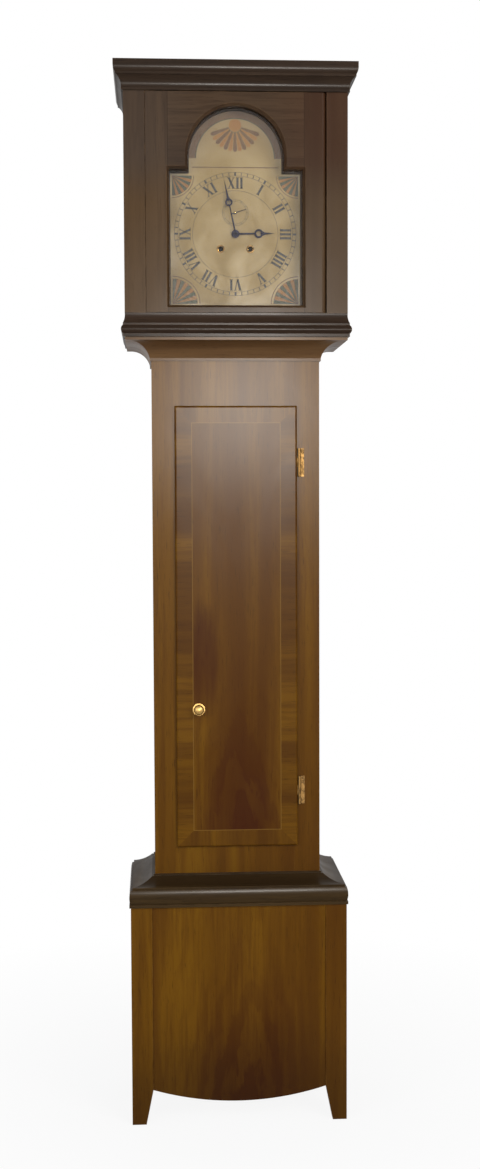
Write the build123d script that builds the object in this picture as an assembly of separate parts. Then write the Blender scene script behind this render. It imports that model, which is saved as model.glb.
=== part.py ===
from build123d import *
import os
from math import atan2, cos, hypot, pi, radians, sin, sqrt

# A longcase clock with a flat-topped hood, an arched dial and an eight-day striking movement, in millimetres.
# x runs to the viewer's right, y to the back and z up. The origin is on the floor under the clock's middle.
# A depth is measured forwards from the back of the backboard.

# Whole clock
overall_height = 2230
cornice_projection = 20
cornice_height = 58
board = 12
joint_gap = 0.3
running_clearance = 0.05

# Hood
hood_width = 464
hood_depth = 250
hood_height = 559
hood_base_height = 49
hood_base_projection = 8
hood_side_thickness = 14
hood_front_thickness = 18
hood_stile_width = 44
runner_gap = 1
mask_thickness = 8
mask_setback = 10

# Hood door and its arched opening
hood_door_gap = 0.8
dial_opening_half_width = 136
opening_sill = 19
opening_square_height = 273
dial_arch_radius = 97
arch_stilt = 32
door_sight_margin = 3
glass_thickness = 2
glass_setback = 1
glass_lap = 6
door_pin_radius = 2.5
door_pin_length = 12
sight_chamfer = 5

# Trunk
trunk_width = 356
trunk_setback = 55
trunk_front_thickness = 20
case_side_thickness = 15
trunk_foot_lap = 65
trunk_head_lap = 29
throat_height = 45
throat_margin = 1
trunk_door_width = 260
door_sill_height = 58
door_head_height = 140
trunk_door_thickness = 16
trunk_door_lip = 7
lip_overlap = 7
lip_bead = 4
door_clearance = 1

# Waist and base
base_height = 470
waist_height = 59
waist_margin = 3
base_width = 460
base_depth = 250
post_width = 45
post_thickness = 22
foot_width = 30
apron_end = 74
apron_middle = 46
apron_thickness = 14
apron_setback = 2
bottom_board_height = 82
block_height = 40

# Trunk door hardware
hinge_length = 60
hinge_inset = 120
hinge_leaf = 1.2
hinge_leaf_width = 8
hinge_knuckle_radius = 3.2
hinge_pin_radius = 1.6
knuckle_gap = 0.3
catch_rise = 298
catch_inset = 48
knob_radius = 11
knob_projection = 20
rose_radius = 13
rose_thickness = 2
spindle_radius = 3
turn_length = 56
turn_width = 14
turn_thickness = 3.5

# Frame of the movement
plate_thickness = 3
plate_spacing = 63
plate_half_width = 67
plate_rise = 90
plate_drop = 80
pillar_radius = 5
pillar_inset = 6
pillar_waist = 1.2
pillar_block = 8
middle_block = 10
side_pillar_inset = 8
side_pillar_rise = 22
seatboard_thickness = 20
seatboard_front_overhang = 10
seatboard_back_overhang = 7
seatboard_bolt_radius = 2.5
seatboard_bolt_head = 5.5
bolt_head_height = 4

# Dial and hands
dial_gap = 2
dial_spacing = 38
dial_centre_rise = 149
dial_thickness = 2
dial_margin = 13
dial_foot_radius = 3.5
dial_foot_half_span = 56
dial_foot_drop = 68
dial_foot_rise = 66
seconds_hole_radius = 2.5
winding_hole_radius = 5.5
hour_hand_length = 82
minute_hand_length = 118
seconds_hand_length = 24
hand_thickness = 0.8
hour_hand_gap = 3
minute_hand_gap = 6.5
seconds_hand_gap = 1.2
minute_of_hour = 58
seconds_shown = 12

# Toothed wheels: numbers of teeth and leaves, and modules
great_teeth = 96
centre_leaves = 8
centre_teeth = 60
third_leaves = 8
third_teeth = 56
escape_leaves = 7
escape_teeth = 30
centre_module = 0.75
third_module = 0.70
strike_great_teeth = 84
strike_great_module = 0.86
pin_leaves = 8
pin_teeth = 64
pin_module = 0.75
gathering_leaves = 8
gathering_teeth = 56
gathering_module = 0.70
warning_leaves = 7
warning_teeth = 49
warning_module = 0.62
fly_leaves = 7
cannon_teeth = 36
minute_teeth = 36
minute_leaves = 8
hour_teeth = 96
hour_module = 0.60
ratchet_teeth = 28

# Shapes of teeth, in modules
tooth_addendum = 0.8
tooth_dedendum = 1.3
tooth_half_tip = 0.30
leaf_addendum = 0.6
leaf_dedendum = 1.6
leaf_half_root = 0.42
leaf_half_tip = 0.28

# Places of the arbors, seen from the front: distances from the dial's centre, and bearings from arbor to arbor
barrel_offset = 31
barrel_drop = 31
escape_rise = 44
pallet_rise = 68
hammer_offset = 50
hammer_rise = 66
pin_bearing = 100
gathering_bearing = 59
warning_bearing = 126
fly_bearing = 44
minute_bearing = 180

# Where wheels and pinions start, behind the front plate's inner face, and how long they are
wheel_thickness = 2
great_thickness = 2.5
ratchet_thickness = 1.8
going_great_start = 50.3
going_ratchet_start = 48.2
centre_pinion_start = 48.5
centre_pinion_length = 5.5
centre_wheel_start = 54.8
third_pinion_start = 52
third_pinion_length = 7
third_wheel_start = 36
escape_pinion_start = 34
escape_pinion_length = 7
escape_wheel_start = 24
pallet_start = 22
pallet_width = 6
strike_great_start = 3
strike_ratchet_start = 5.8
pin_pinion_start = 0.8
pin_pinion_length = 5.2
pin_wheel_start = 8.5
lifting_pin_length = 2.2
gathering_pinion_start = 6.5
gathering_pinion_length = 6
gathering_wheel_start = 14.5
warning_pinion_start = 13
warning_pinion_length = 5.5
warning_wheel_start = 20
warning_wheel_thickness = 1.6
fly_pinion_start = 18
fly_pinion_length = 6
fly_start = 34
fly_length = 22

# Arbors, wheel centres and rims
pivot_radius = 1
arbor_radius = 1.8
centre_arbor_radius = 2.4
wheel_arm = 3.2
wheel_hub = 5
wheel_rim = 3
light_rim = 2.5
great_arm = 6
great_hub = 20.5
great_rim = 4

# Motion work: gaps are in front of the front plate
cannon_bore = 2.05
cannon_pipe_radius = 3
hour_pipe_radius = 4.6
pipe_clearance = 0.6
pipe_end_margin = 1.5
cannon_gap = 3
hour_gap = 9
minute_pinion_margin = 3
minute_stud_radius = 0.8
minute_stud_shoulder = 3
minute_stud_margin = 5
snail_radius = 17.5
snail_step = 0.85
snail_thickness = 2.5

# Barrels, lines and weights
barrel_start = 13
barrel_end = 47
barrel_radius = 21.5
barrel_core_radius = 5
barrel_arbor_radius = 3
barrel_pivot_radius = 2.2
barrel_grooves = 8
groove_depth = 0.6
groove_margin = 2
flange_radius = 25
flange_thickness = 1.5
ratchet_radius = 15
ratchet_depth = 1.6
click_width = 3.5
click_angle = 0.7
square_side = 5
square_recess = 3
line_radius = 0.8
line_slot_half = 4
knot_radius = 2.3
pulley_thickness = 7
pulley_rim = 3.5
pulley_pin_radius = 1.6
strap_width = 7
strap_thickness = 1.8
strap_gap = 0.6
weight_radius = 28
weight_height = 210
weight_hook = 38
weight_hang = 488

# Escapement and pendulum
escape_radius = 17
escape_tooth_depth = 3.2
escape_rim = 2
pendulum_gap = 19
pendulum_length = 994
bob_radius = 55
bob_thickness = 30
bob_rim = 2
rod_radius = 1.6
rod_below_bob = 30
crutch_gap = 4
crutch_length = 100
crutch_radius = 1.2
crutch_hole_radius = 5
fork_width = 1.6
spring_width = 8
spring_thickness = 0.5
spring_length = 16
suspension_block = 12
suspension_rise = 6
cock_half_span = 21
cock_gap = 8
cock_thickness = 3

# Bell and hammer
bell_radius = 42
bell_height = 28
bell_wall = 2.2
bell_lip = 4
bell_rise = 112
bell_place = 30
bell_post_radius = 3
bell_post_offset = 34
bell_post_start = 22
bell_bend = 8
bell_screw_radius = 2.5
bell_nut_radius = 5
bell_nut_height = 3.5
bell_boss = 3
hammer_head_rise = 119
hammer_head_radius = 5
hammer_head_length = 13
hammer_gap = 1.5
hammer_collar = 3
hammer_stem_radius = 1.5
hammer_tail_radius = 0.9
hammer_tail_place = 7.4

# Widths and depths worked out from the sizes above
overall_depth = hood_depth + cornice_projection
back_y = overall_depth / 2
hood_half = hood_width / 2
hood_inner_half = hood_half - hood_side_thickness
trunk_depth = hood_depth - trunk_setback
trunk_half = trunk_width / 2
trunk_inner_half = trunk_half - case_side_thickness
base_half = base_width / 2
base_inner_half = base_half - case_side_thickness
mask_depth = hood_depth - hood_front_thickness - mask_setback
dial_face = mask_depth - mask_thickness - dial_gap
front_plate_face = dial_face - dial_spacing
front_plate_back = front_plate_face - plate_thickness
back_plate_back = front_plate_back - plate_spacing - plate_thickness
plates_y = back_y - front_plate_back
seatboard_front = front_plate_face + seatboard_front_overhang
seatboard_back = back_plate_back - seatboard_back_overhang
pendulum_depth = back_plate_back - pendulum_gap
crutch_depth = back_plate_back - crutch_gap
bolt_depth = front_plate_back - plate_spacing / 2
line_depth = front_plate_back - (barrel_start + barrel_end) / 2
line_reach = barrel_radius + line_radius + joint_gap
barrel_neck_radius = square_side / 2 + 1
hour_hand_depth = dial_face + hour_hand_gap
minute_hand_depth = dial_face + minute_hand_gap

# Heights worked out from the sizes above
waist_bottom = base_height
waist_top = base_height + waist_height
trunk_foot = waist_bottom - trunk_foot_lap
bottom_board_top = bottom_board_height + board
hood_bottom = overall_height - hood_height
hood_base_top = hood_bottom + hood_base_height
hood_wall_top = overall_height - board
cornice_bottom = overall_height - cornice_height
trunk_front_top = hood_bottom + trunk_head_lap
throat_top = hood_bottom - joint_gap
throat_bottom = throat_top - throat_height
trunk_door_bottom = waist_top + door_sill_height
trunk_door_top = hood_bottom - door_head_height
catch_height = trunk_door_bottom + catch_rise
dial_opening_bottom = hood_base_top + opening_sill
dial_opening_shoulder = dial_opening_bottom + opening_square_height
dial_arch_centre = dial_opening_shoulder + arch_stilt
dial_centre = dial_opening_bottom + dial_centre_rise
seatboard_top = dial_centre - plate_drop
seatboard_bottom = seatboard_top - seatboard_thickness
weight_rest = dial_centre - weight_hang


def y_at(depth):
    """The y of a depth measured forwards from the back of the case."""
    return back_y - depth


def block(x_span, depth_span, z_span):
    """A plain board between two x values, two depths and two heights."""
    sizes = [abs(span[1] - span[0]) for span in (x_span, depth_span, z_span)]
    middle = [(span[0] + span[1]) / 2 for span in (x_span, depth_span, z_span)]
    return Pos(middle[0], y_at(middle[1]), middle[2]) * Box(*sizes)


def board_from(outline, depth_span):
    """A board of any outline drawn as seen from the front, between two depths."""
    back, front = min(depth_span), max(depth_span)
    plane = Plane(origin=(0, y_at(back), 0), x_dir=(1, 0, 0), z_dir=(0, -1, 0))
    return extrude(plane * outline, amount=front - back)


def both_sides(solid):
    """A right-hand solid and its mirror image on the left."""
    return [solid, mirror(solid, about=Plane.YZ)]


def rod(start, end, radius):
    """A round rod from one point to another."""
    along = Vector(*end) - Vector(*start)
    place = Plane(origin=start, z_dir=along)
    return place * Cylinder(radius, along.length, align=(Align.CENTER, Align.CENTER, Align.MIN))


def polygon(points):
    """A flat face inside the given corners."""
    return make_face(Polyline(*points, close=True))


def save(name, *solids):
    """Writes one node, as one solid or as a group of separate solids."""
    shape = solids[0] if len(solids) == 1 else Compound(list(solids))
    export_step(shape, f"parts/{name}.step")


# Mouldings

def cornice_profile(out):
    height = cornice_height
    curve = Polyline((0, height), (0, 0), (0.2 * out, 0), (0.2 * out, 0.08 * height))
    curve += ThreePointArc((0.2 * out, 0.08 * height), (0.32 * out, 0.34 * height), (0.7 * out, 0.5 * height))
    curve += Polyline((0.7 * out, 0.5 * height), (0.8 * out, 0.5 * height), (0.8 * out, 0.57 * height))
    curve += TangentArc((out, 0.8 * height), (0.8 * out, 0.57 * height), tangent=(0, -1))
    curve += Polyline((out, 0.8 * height), (out, height), (0, height))
    return make_face(curve)


def hood_base_profile(width):
    """A rail with a torus and a cove worked on its outer edge, drawn from the inner edge outwards."""
    height, out = hood_base_height, hood_base_projection
    start = width - out
    curve = Polyline((0, height), (0, 0), (start + 0.5 * out, 0), (start + 0.5 * out, 0.12 * height))
    curve += ThreePointArc(
        (start + 0.5 * out, 0.12 * height), (start + out, 0.3 * height), (start + 0.5 * out, 0.48 * height)
    )
    curve += Line((start + 0.5 * out, 0.48 * height), (start + 0.5 * out, 0.56 * height))
    curve += ThreePointArc(
        (start + 0.5 * out, 0.56 * height), (start + 0.12 * out, 0.72 * height), (start, height)
    )
    curve += Line((start, height), (0, height))
    return make_face(curve)


def throat_profile(out):
    height = throat_height
    curve = Polyline((0, height), (0, 0), (0.06 * out, 0), (0.06 * out, 0.12 * height))
    curve += ThreePointArc(
        (0.06 * out, 0.12 * height), (0.3 * out, 0.62 * height), (0.88 * out, 0.86 * height)
    )
    curve += Polyline((0.88 * out, 0.86 * height), (out, 0.86 * height), (out, height), (0, height))
    return make_face(curve)


def waist_profile(out):
    """A fillet, a broad torus and a step, and above them a shallow cove that rises to the trunk."""
    height = waist_height
    curve = Polyline((0, height), (0, 0), (out, 0), (out, 0.1 * height), (0.95 * out, 0.1 * height))
    curve += ThreePointArc(
        (0.95 * out, 0.1 * height), (out, 0.36 * height), (0.95 * out, 0.62 * height)
    )
    curve += Polyline((0.95 * out, 0.62 * height), (0.88 * out, 0.62 * height), (0.88 * out, 0.7 * height))
    curve += ThreePointArc(
        (0.88 * out, 0.7 * height), (0.45 * out, 0.77 * height), (0.12 * out, 0.94 * height)
    )
    curve += Polyline((0.12 * out, 0.94 * height), (0.06 * out, 0.94 * height), (0.06 * out, height), (0, height))
    return make_face(curve)


def mitred_moulding(profile, side_reach, front_reach, half_width, front_depth, bottom, height):
    """Front length and two returns of a moulding round three sides, cut on mitres at the front corners.

    The profile function takes the width of the moulding, which may differ at the front and the sides, and draws
    outwards from the lines given by half_width and front_depth."""
    side_plane = Plane(origin=(half_width, back_y, bottom), x_dir=(1, 0, 0), z_dir=(0, -1, 0))
    side_run = extrude(side_plane * profile(side_reach), amount=front_depth + front_reach)
    front_plane = Plane(
        origin=(half_width + side_reach, y_at(front_depth), bottom), x_dir=(0, -1, 0), z_dir=(-1, 0, 0)
    )
    front_run = extrude(front_plane * profile(front_reach), amount=2 * (half_width + side_reach))
    corners = [
        (0, y_at(front_depth)),
        (half_width, y_at(front_depth)),
        (half_width + side_reach, y_at(front_depth + front_reach)),
        (0, y_at(front_depth + front_reach)),
    ]
    wedge = Pos(0, 0, bottom) * extrude(polygon(corners), amount=height)
    front_part = front_run & (wedge + mirror(wedge, about=Plane.YZ))
    return [front_part, *both_sides(side_run - wedge)]


def hood_rails():
    """Base rails of the hood: their inner edges run clear of the trunk, their outer edges are moulded."""
    inner_half = trunk_half + runner_gap
    inner_depth = trunk_depth + 2 * runner_gap
    front_rail, *side_rails = mitred_moulding(
        hood_base_profile,
        hood_half + hood_base_projection - inner_half,
        hood_depth + hood_base_projection - inner_depth,
        inner_half,
        inner_depth,
        hood_bottom,
        hood_base_height,
    )
    pin = door_pin_place()
    socket = Pos(pin[0], y_at(pin[1]), hood_base_top - door_pin_length - 1) * Cylinder(
        door_pin_radius + running_clearance, door_pin_length + 2, align=(Align.CENTER, Align.CENTER, Align.MIN)
    )
    return [front_rail - socket, *side_rails]


# Case

def backboard():
    trunk_edge = trunk_inner_half
    ear_edge = hood_inner_half - runner_gap
    half = [
        (0, bottom_board_height),
        (base_inner_half, bottom_board_height),
        (base_inner_half, waist_bottom),
        (trunk_edge, waist_bottom),
        (trunk_edge, hood_base_top + runner_gap),
        (ear_edge, hood_base_top + runner_gap),
        (ear_edge, hood_wall_top - runner_gap),
        (0, hood_wall_top - runner_gap),
    ]
    outline = half + [(-x, z) for x, z in reversed(half[1:-1])]
    return board_from(polygon(outline), (0, board))


def trunk_sides():
    side = block(
        (trunk_inner_half, trunk_half),
        (board, trunk_depth - trunk_front_thickness),
        (trunk_foot, seatboard_bottom),
    )
    upper_back = block((trunk_inner_half, trunk_half), (0, board), (waist_bottom, hood_base_top + runner_gap))
    return both_sides(side + upper_back)


def trunk_front_frame():
    opening_half = trunk_door_width / 2 - lip_overlap
    depth_span = (trunk_depth - trunk_front_thickness, trunk_depth)
    opening_bottom = trunk_door_bottom + lip_overlap
    opening_top = trunk_door_top - lip_overlap
    stile = block((opening_half, trunk_half), depth_span, (trunk_foot, trunk_front_top))
    top_rail = block((-opening_half, opening_half), depth_span, (opening_top, trunk_front_top))
    bottom_rail = block((-opening_half, opening_half), depth_span, (trunk_foot, opening_bottom))
    return [*both_sides(stile), top_rail, bottom_rail]


def throat_moulding():
    return mitred_moulding(
        throat_profile,
        hood_half - trunk_half,
        trunk_setback - throat_margin,
        trunk_half,
        trunk_depth,
        throat_bottom,
        throat_height,
    )


def waist_moulding():
    return mitred_moulding(
        waist_profile,
        base_half + waist_margin - trunk_half,
        base_depth + waist_margin - trunk_depth,
        trunk_half,
        trunk_depth,
        waist_bottom,
        waist_height,
    )


def waist_blocks():
    top = trunk_foot + block_height
    side = block((trunk_half, base_inner_half), (board, base_depth - post_thickness), (trunk_foot, top))
    front = block(
        (-trunk_inner_half, trunk_inner_half),
        (trunk_depth, base_depth - apron_setback - apron_thickness),
        (trunk_foot, top),
    )
    return [front, *both_sides(side)]


def corner_posts():
    inner = base_half - post_width
    outline = polygon(
        [
            (base_half, 0),
            (base_half, waist_bottom),
            (inner, waist_bottom),
            (inner, apron_end),
            (base_half - foot_width, 0),
        ]
    )
    post = board_from(outline, (base_depth - post_thickness, base_depth))
    return both_sides(post)


def base_front_panel():
    half = base_half - post_width
    outline = make_face(
        Polyline((-half, apron_end), (-half, waist_bottom), (half, waist_bottom), (half, apron_end))
        + ThreePointArc((-half, apron_end), (0, apron_middle), (half, apron_end))
    )
    front = base_depth - apron_setback
    return board_from(outline, (front - apron_thickness, front))


def base_sides():
    """A side is cut away between a front foot and a back foot, whose inner edges slope as the posts' do."""
    front = base_depth - post_thickness
    outline = polygon(
        [
            (0, 0),
            (foot_width, 0),
            (post_width, apron_end),
            (front - post_width + post_thickness, apron_end),
            (front - foot_width + post_thickness, 0),
            (front, 0),
            (front, waist_bottom),
            (0, waist_bottom),
        ]
    )
    plane = Plane(origin=(base_inner_half, back_y, 0), x_dir=(0, -1, 0), z_dir=(-1, 0, 0))
    side = extrude(plane * outline, amount=-case_side_thickness)
    return both_sides(side)


def base_bottom_board():
    """The board reaches the front panel, and is notched round the corner posts."""
    z_span = (bottom_board_height, bottom_board_top)
    post_inner = base_half - post_width
    panel_back = base_depth - apron_setback - apron_thickness
    full_width = block((-base_inner_half, base_inner_half), (board, base_depth - post_thickness), z_span)
    return full_width + block((-post_inner, post_inner), (board, panel_back), z_span)


def seatboard():
    """Carries the movement. Slots let the lines down from the barrels, small holes hold their knotted ends."""
    z_span = (seatboard_bottom, seatboard_top)
    plank = block((-trunk_half, trunk_half), (seatboard_back, seatboard_front), z_span)
    slot_half = (barrel_end - barrel_start) / 2
    for side in (-1, 1):
        fall_x, tie_x = line_places(side)
        slot = block(
            (fall_x - line_slot_half, fall_x + line_slot_half),
            (line_depth - slot_half, line_depth + slot_half),
            z_span,
        )
        tie = rod(
            (tie_x, y_at(line_depth), seatboard_bottom),
            (tie_x, y_at(line_depth), seatboard_top),
            line_radius + joint_gap,
        )
        plank -= slot + tie
        plank -= rod(
            (side * (plate_half_width - pillar_inset), y_at(bolt_depth), seatboard_bottom),
            (side * (plate_half_width - pillar_inset), y_at(bolt_depth), seatboard_top),
            seatboard_bolt_radius + running_clearance,
        )
    return plank


def line_places(side):
    """x where a line leaves its barrel, on the left so that both wind clockwise, and x of its knotted end."""
    return side * barrel_offset - line_reach, side * barrel_offset + line_reach


# Hood

def arched_outline(margin):
    """The dial opening grown by a margin: a square part and a stilted arch above it."""
    half = dial_opening_half_width + margin
    bottom = dial_opening_bottom - margin
    shoulder = dial_opening_shoulder + margin
    arch = dial_arch_radius + margin
    curve = Polyline(
        (-arch, dial_arch_centre), (-arch, shoulder), (-half, shoulder), (-half, bottom), (half, bottom),
        (half, shoulder), (arch, shoulder), (arch, dial_arch_centre),
    )
    curve += ThreePointArc(
        (arch, dial_arch_centre), (0, dial_arch_centre + arch), (-arch, dial_arch_centre)
    )
    return make_face(curve)


def hood_cornice():
    return mitred_moulding(
        cornice_profile,
        cornice_projection,
        cornice_projection,
        hood_half,
        hood_depth,
        cornice_bottom,
        cornice_height,
    )


def hood_top_board():
    return block((-hood_half, hood_half), (0, hood_depth), (hood_wall_top, overall_height))


def hood_sides():
    side = block(
        (hood_inner_half, hood_half), (0, hood_depth - hood_front_thickness), (hood_base_top, hood_wall_top)
    )
    return both_sides(side)


def hood_front_frame():
    depth_span = (hood_depth - hood_front_thickness, hood_depth)
    inner = hood_half - hood_stile_width
    stile = block((inner, hood_half), depth_span, (hood_base_top, hood_wall_top))
    rail = block((-inner, inner), depth_span, (cornice_bottom, hood_wall_top))
    pin = door_pin_place()
    socket = Pos(pin[0], y_at(pin[1]), cornice_bottom - 1) * Cylinder(
        door_pin_radius + running_clearance, door_pin_length + 2, align=(Align.CENTER, Align.CENTER, Align.MIN)
    )
    return [*both_sides(stile), rail - socket]


def hood_mask():
    outline = polygon(
        [
            (-hood_inner_half, hood_base_top),
            (hood_inner_half, hood_base_top),
            (hood_inner_half, hood_wall_top),
            (-hood_inner_half, hood_wall_top),
        ]
    )
    return board_from(outline - arched_outline(0), (mask_depth - mask_thickness, mask_depth))


def door_pin_place():
    """x and depth of the hood door's pivots, in the middle of its rounded right-hand edge."""
    half_thickness = hood_front_thickness / 2
    return (hood_half - hood_stile_width - hood_door_gap - half_thickness, hood_depth - half_thickness)


def hood_door_frame():
    half = hood_half - hood_stile_width - hood_door_gap
    bottom = hood_base_top + hood_door_gap
    top = cornice_bottom - hood_door_gap
    back = hood_depth - hood_front_thickness
    pin_x, pin_depth = door_pin_place()
    leaf = block((-half, pin_x), (back, hood_depth), (bottom, top))
    edge = rod((pin_x, y_at(pin_depth), bottom), (pin_x, y_at(pin_depth), top), hood_front_thickness / 2)
    sight = board_from(arched_outline(door_sight_margin), (back, hood_depth))
    glass_front = back + glass_setback + glass_thickness
    rebate = board_from(arched_outline(door_sight_margin + glass_lap), (back, glass_front))
    door = leaf + edge - sight - rebate
    door -= loft_between(
        arched_outline(door_sight_margin),
        hood_depth - sight_chamfer,
        arched_outline(door_sight_margin + sight_chamfer),
        hood_depth,
    )
    pin_hole = rod(
        (pin_x, y_at(pin_depth), bottom), (pin_x, y_at(pin_depth), bottom + door_pin_length), door_pin_radius
    )
    door -= pin_hole
    door -= Pos(0, 0, top - bottom - door_pin_length) * pin_hole
    return door


def loft_between(back_outline, back_depth, front_outline, front_depth):
    """A bevel between two like outlines at two depths."""
    wires = []
    for outline, depth in ((back_outline, back_depth), (front_outline, front_depth)):
        plane = Plane(origin=(0, y_at(depth), 0), x_dir=(1, 0, 0), z_dir=(0, -1, 0))
        wires.append((plane * outline).face().outer_wire())
    return Solid.make_loft(wires, True)


def hood_door_glass():
    back = hood_depth - hood_front_thickness + glass_setback
    return board_from(arched_outline(door_sight_margin + glass_lap - joint_gap), (back, back + glass_thickness))


def hood_door_pivots():
    """Two steel pins, half in the door and half in the rail above or below it."""
    pin_x, pin_depth = door_pin_place()
    bottom = hood_base_top + hood_door_gap
    top = cornice_bottom - hood_door_gap
    lower = rod(
        (pin_x, y_at(pin_depth), hood_base_top - door_pin_length),
        (pin_x, y_at(pin_depth), bottom + door_pin_length),
        door_pin_radius,
    )
    upper = rod(
        (pin_x, y_at(pin_depth), top - door_pin_length),
        (pin_x, y_at(pin_depth), cornice_bottom + door_pin_length),
        door_pin_radius,
    )
    return [lower, upper]


# Trunk door and its hardware

def trunk_door():
    """A board that fits the frame's opening, with a lip that laps over the frame and a bead round its edge."""
    body_half = trunk_door_width / 2 - lip_overlap - door_clearance
    body = block(
        (-body_half, body_half),
        (trunk_depth - trunk_door_thickness, trunk_depth + joint_gap),
        (trunk_door_bottom + lip_overlap + door_clearance, trunk_door_top - lip_overlap - door_clearance),
    )
    lip_front = trunk_depth + joint_gap + trunk_door_lip
    half = trunk_door_width / 2
    lip = block((-half, half), (trunk_depth + joint_gap, lip_front), (trunk_door_bottom, trunk_door_top))
    lip = fillet(lip.faces().sort_by(Axis.Y)[0].edges(), lip_bead)
    spindle = rod(
        (catch_x(), y_at(trunk_depth - trunk_door_thickness), catch_height),
        (catch_x(), y_at(lip_front), catch_height),
        spindle_radius + running_clearance,
    )
    return body + lip - spindle


def hinge_axis():
    """x and depth of the trunk door's hinge pin, beside the lip's right-hand edge."""
    x = trunk_door_width / 2 + hinge_leaf + hinge_knuckle_radius
    depth = trunk_depth + joint_gap + hinge_leaf + hinge_knuckle_radius
    return x, depth


def hinge_heights():
    return [trunk_door_bottom + hinge_inset, trunk_door_top - hinge_inset]


def trunk_hinge_plates():
    """Fixed half of each hinge: a leaf on the frame's face, two knuckles and the pin."""
    x, depth = hinge_axis()
    third = hinge_length / 3
    solids = []
    for height in hinge_heights():
        low = height - hinge_length / 2
        leaf = block(
            (x, x + hinge_knuckle_radius + hinge_leaf_width),
            (trunk_depth, trunk_depth + hinge_leaf),
            (low, low + hinge_length),
        )
        half = leaf
        for start in (low, low + 2 * third):
            half += rod((x, y_at(depth), start), (x, y_at(depth), start + third), hinge_knuckle_radius)
            half += block((x, x + hinge_knuckle_radius), (trunk_depth, depth), (start, start + third))
        half += rod((x, y_at(depth), low), (x, y_at(depth), low + hinge_length), hinge_pin_radius)
        solids.append(half)
    return solids


def trunk_door_hinge_leaves():
    """Moving half of each hinge: a knuckle between the fixed two, and a leaf on the edge of the door's lip."""
    x, depth = hinge_axis()
    third = hinge_length / 3
    edge = trunk_door_width / 2
    solids = []
    for height in hinge_heights():
        low = height - third / 2 + knuckle_gap
        high = height + third / 2 - knuckle_gap
        knuckle = rod((x, y_at(depth), low), (x, y_at(depth), high), hinge_knuckle_radius)
        leaf = block((edge, edge + hinge_leaf), (trunk_depth + joint_gap, depth), (low, high))
        web = block((edge, x), (depth - hinge_leaf, depth), (low, high))
        bore = rod((x, y_at(depth), low), (x, y_at(depth), high), hinge_pin_radius + running_clearance)
        solids.append(knuckle + leaf + web - bore)
    return solids


def catch_x():
    return -(trunk_door_width / 2 - catch_inset)


def trunk_door_catch():
    """Knob, rose, spindle and the turn piece inside, which swings behind the frame's left stile."""
    x = catch_x()
    front = trunk_depth + joint_gap + trunk_door_lip
    back = trunk_depth - trunk_front_thickness - joint_gap
    widest = 0.55 * knob_projection
    neck = 0.45 * knob_radius
    outline = Polyline((widest, knob_radius), (rose_thickness, neck), (rose_thickness, rose_radius))
    outline += Polyline((rose_thickness, rose_radius), (0, rose_radius), (0, 0), (knob_projection, 0))
    outline += EllipticalCenterArc((widest, 0), knob_projection - widest, knob_radius, 0, arc_size=90)
    plane = Plane(origin=(x, y_at(front + joint_gap), catch_height), x_dir=(0, -1, 0), z_dir=(-1, 0, 0))
    axis = Axis((x, y_at(front), catch_height), (0, -1, 0))
    knob = revolve(plane * make_face(outline), axis)
    spindle = rod((x, y_at(back), catch_height), (x, y_at(front + joint_gap + 1), catch_height), spindle_radius)
    turn = block(
        (x - turn_width / 2, x + turn_width / 2),
        (back - turn_thickness, back),
        (catch_height - turn_width / 2, catch_height + turn_length),
    )
    turn = fillet(turn.edges().filter_by(Axis.Y), turn_width / 2 - 1)
    return knob + spindle + turn


# Movement: arbors are placed by x and height, and distances inside run back from the front plate's inner face

def mesh_distance(teeth, leaves, module):
    return module * (teeth + leaves) / 2


def reach(place, distance, bearing):
    """A place at a distance and a bearing, in degrees anticlockwise from the right."""
    return (place[0] + distance * cos(radians(bearing)), place[1] + distance * sin(radians(bearing)))


def meeting_place(first, first_distance, second, second_distance):
    """The place to the right of a line between two places, at a given distance from each."""
    dx, dz = second[0] - first[0], second[1] - first[1]
    span = hypot(dx, dz)
    along = (first_distance**2 - second_distance**2 + span**2) / (2 * span)
    aside = sqrt(first_distance**2 - along**2)
    return (
        first[0] + (along * dx + aside * dz) / span,
        first[1] + (along * dz - aside * dx) / span,
    )


centre_place = (0, dial_centre)
going_barrel_place = (barrel_offset, dial_centre - barrel_drop)
strike_barrel_place = (-barrel_offset, dial_centre - barrel_drop)
great_module = 2 * hypot(barrel_offset, barrel_drop) / (great_teeth + centre_leaves)
escape_place = (0, dial_centre + escape_rise)
pallet_place = (0, dial_centre + pallet_rise)
third_place = meeting_place(
    centre_place, mesh_distance(centre_teeth, third_leaves, centre_module),
    escape_place, mesh_distance(third_teeth, escape_leaves, third_module),
)
pin_place = reach(
    strike_barrel_place, mesh_distance(strike_great_teeth, pin_leaves, strike_great_module), pin_bearing
)
gathering_place = reach(pin_place, mesh_distance(pin_teeth, gathering_leaves, pin_module), gathering_bearing)
warning_place = reach(
    gathering_place, mesh_distance(gathering_teeth, warning_leaves, gathering_module), warning_bearing
)
fly_place = reach(warning_place, mesh_distance(warning_teeth, fly_leaves, warning_module), fly_bearing)
cannon_distance = mesh_distance(hour_teeth, minute_leaves, hour_module)
cannon_module = 2 * cannon_distance / (cannon_teeth + minute_teeth)
minute_place = reach(centre_place, cannon_distance, minute_bearing)
hammer_place = (-hammer_offset, dial_centre + hammer_rise)


def between(place, sketch, near, far):
    """A flat outline centred on an arbor, made solid from near to far behind the front plate's inner face."""
    plane = Plane(origin=(place[0], plates_y + far, place[1]), x_dir=(1, 0, 0), z_dir=(0, -1, 0))
    return extrude(plane * sketch, amount=far - near)


def shaft(place, radius, near, far):
    return between(place, Circle(radius), near, far)


def bearing_to(place, other):
    """Angle in radians from one place to another, as seen from the front."""
    return atan2(other[1] - place[1], other[0] - place[0])


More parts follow.
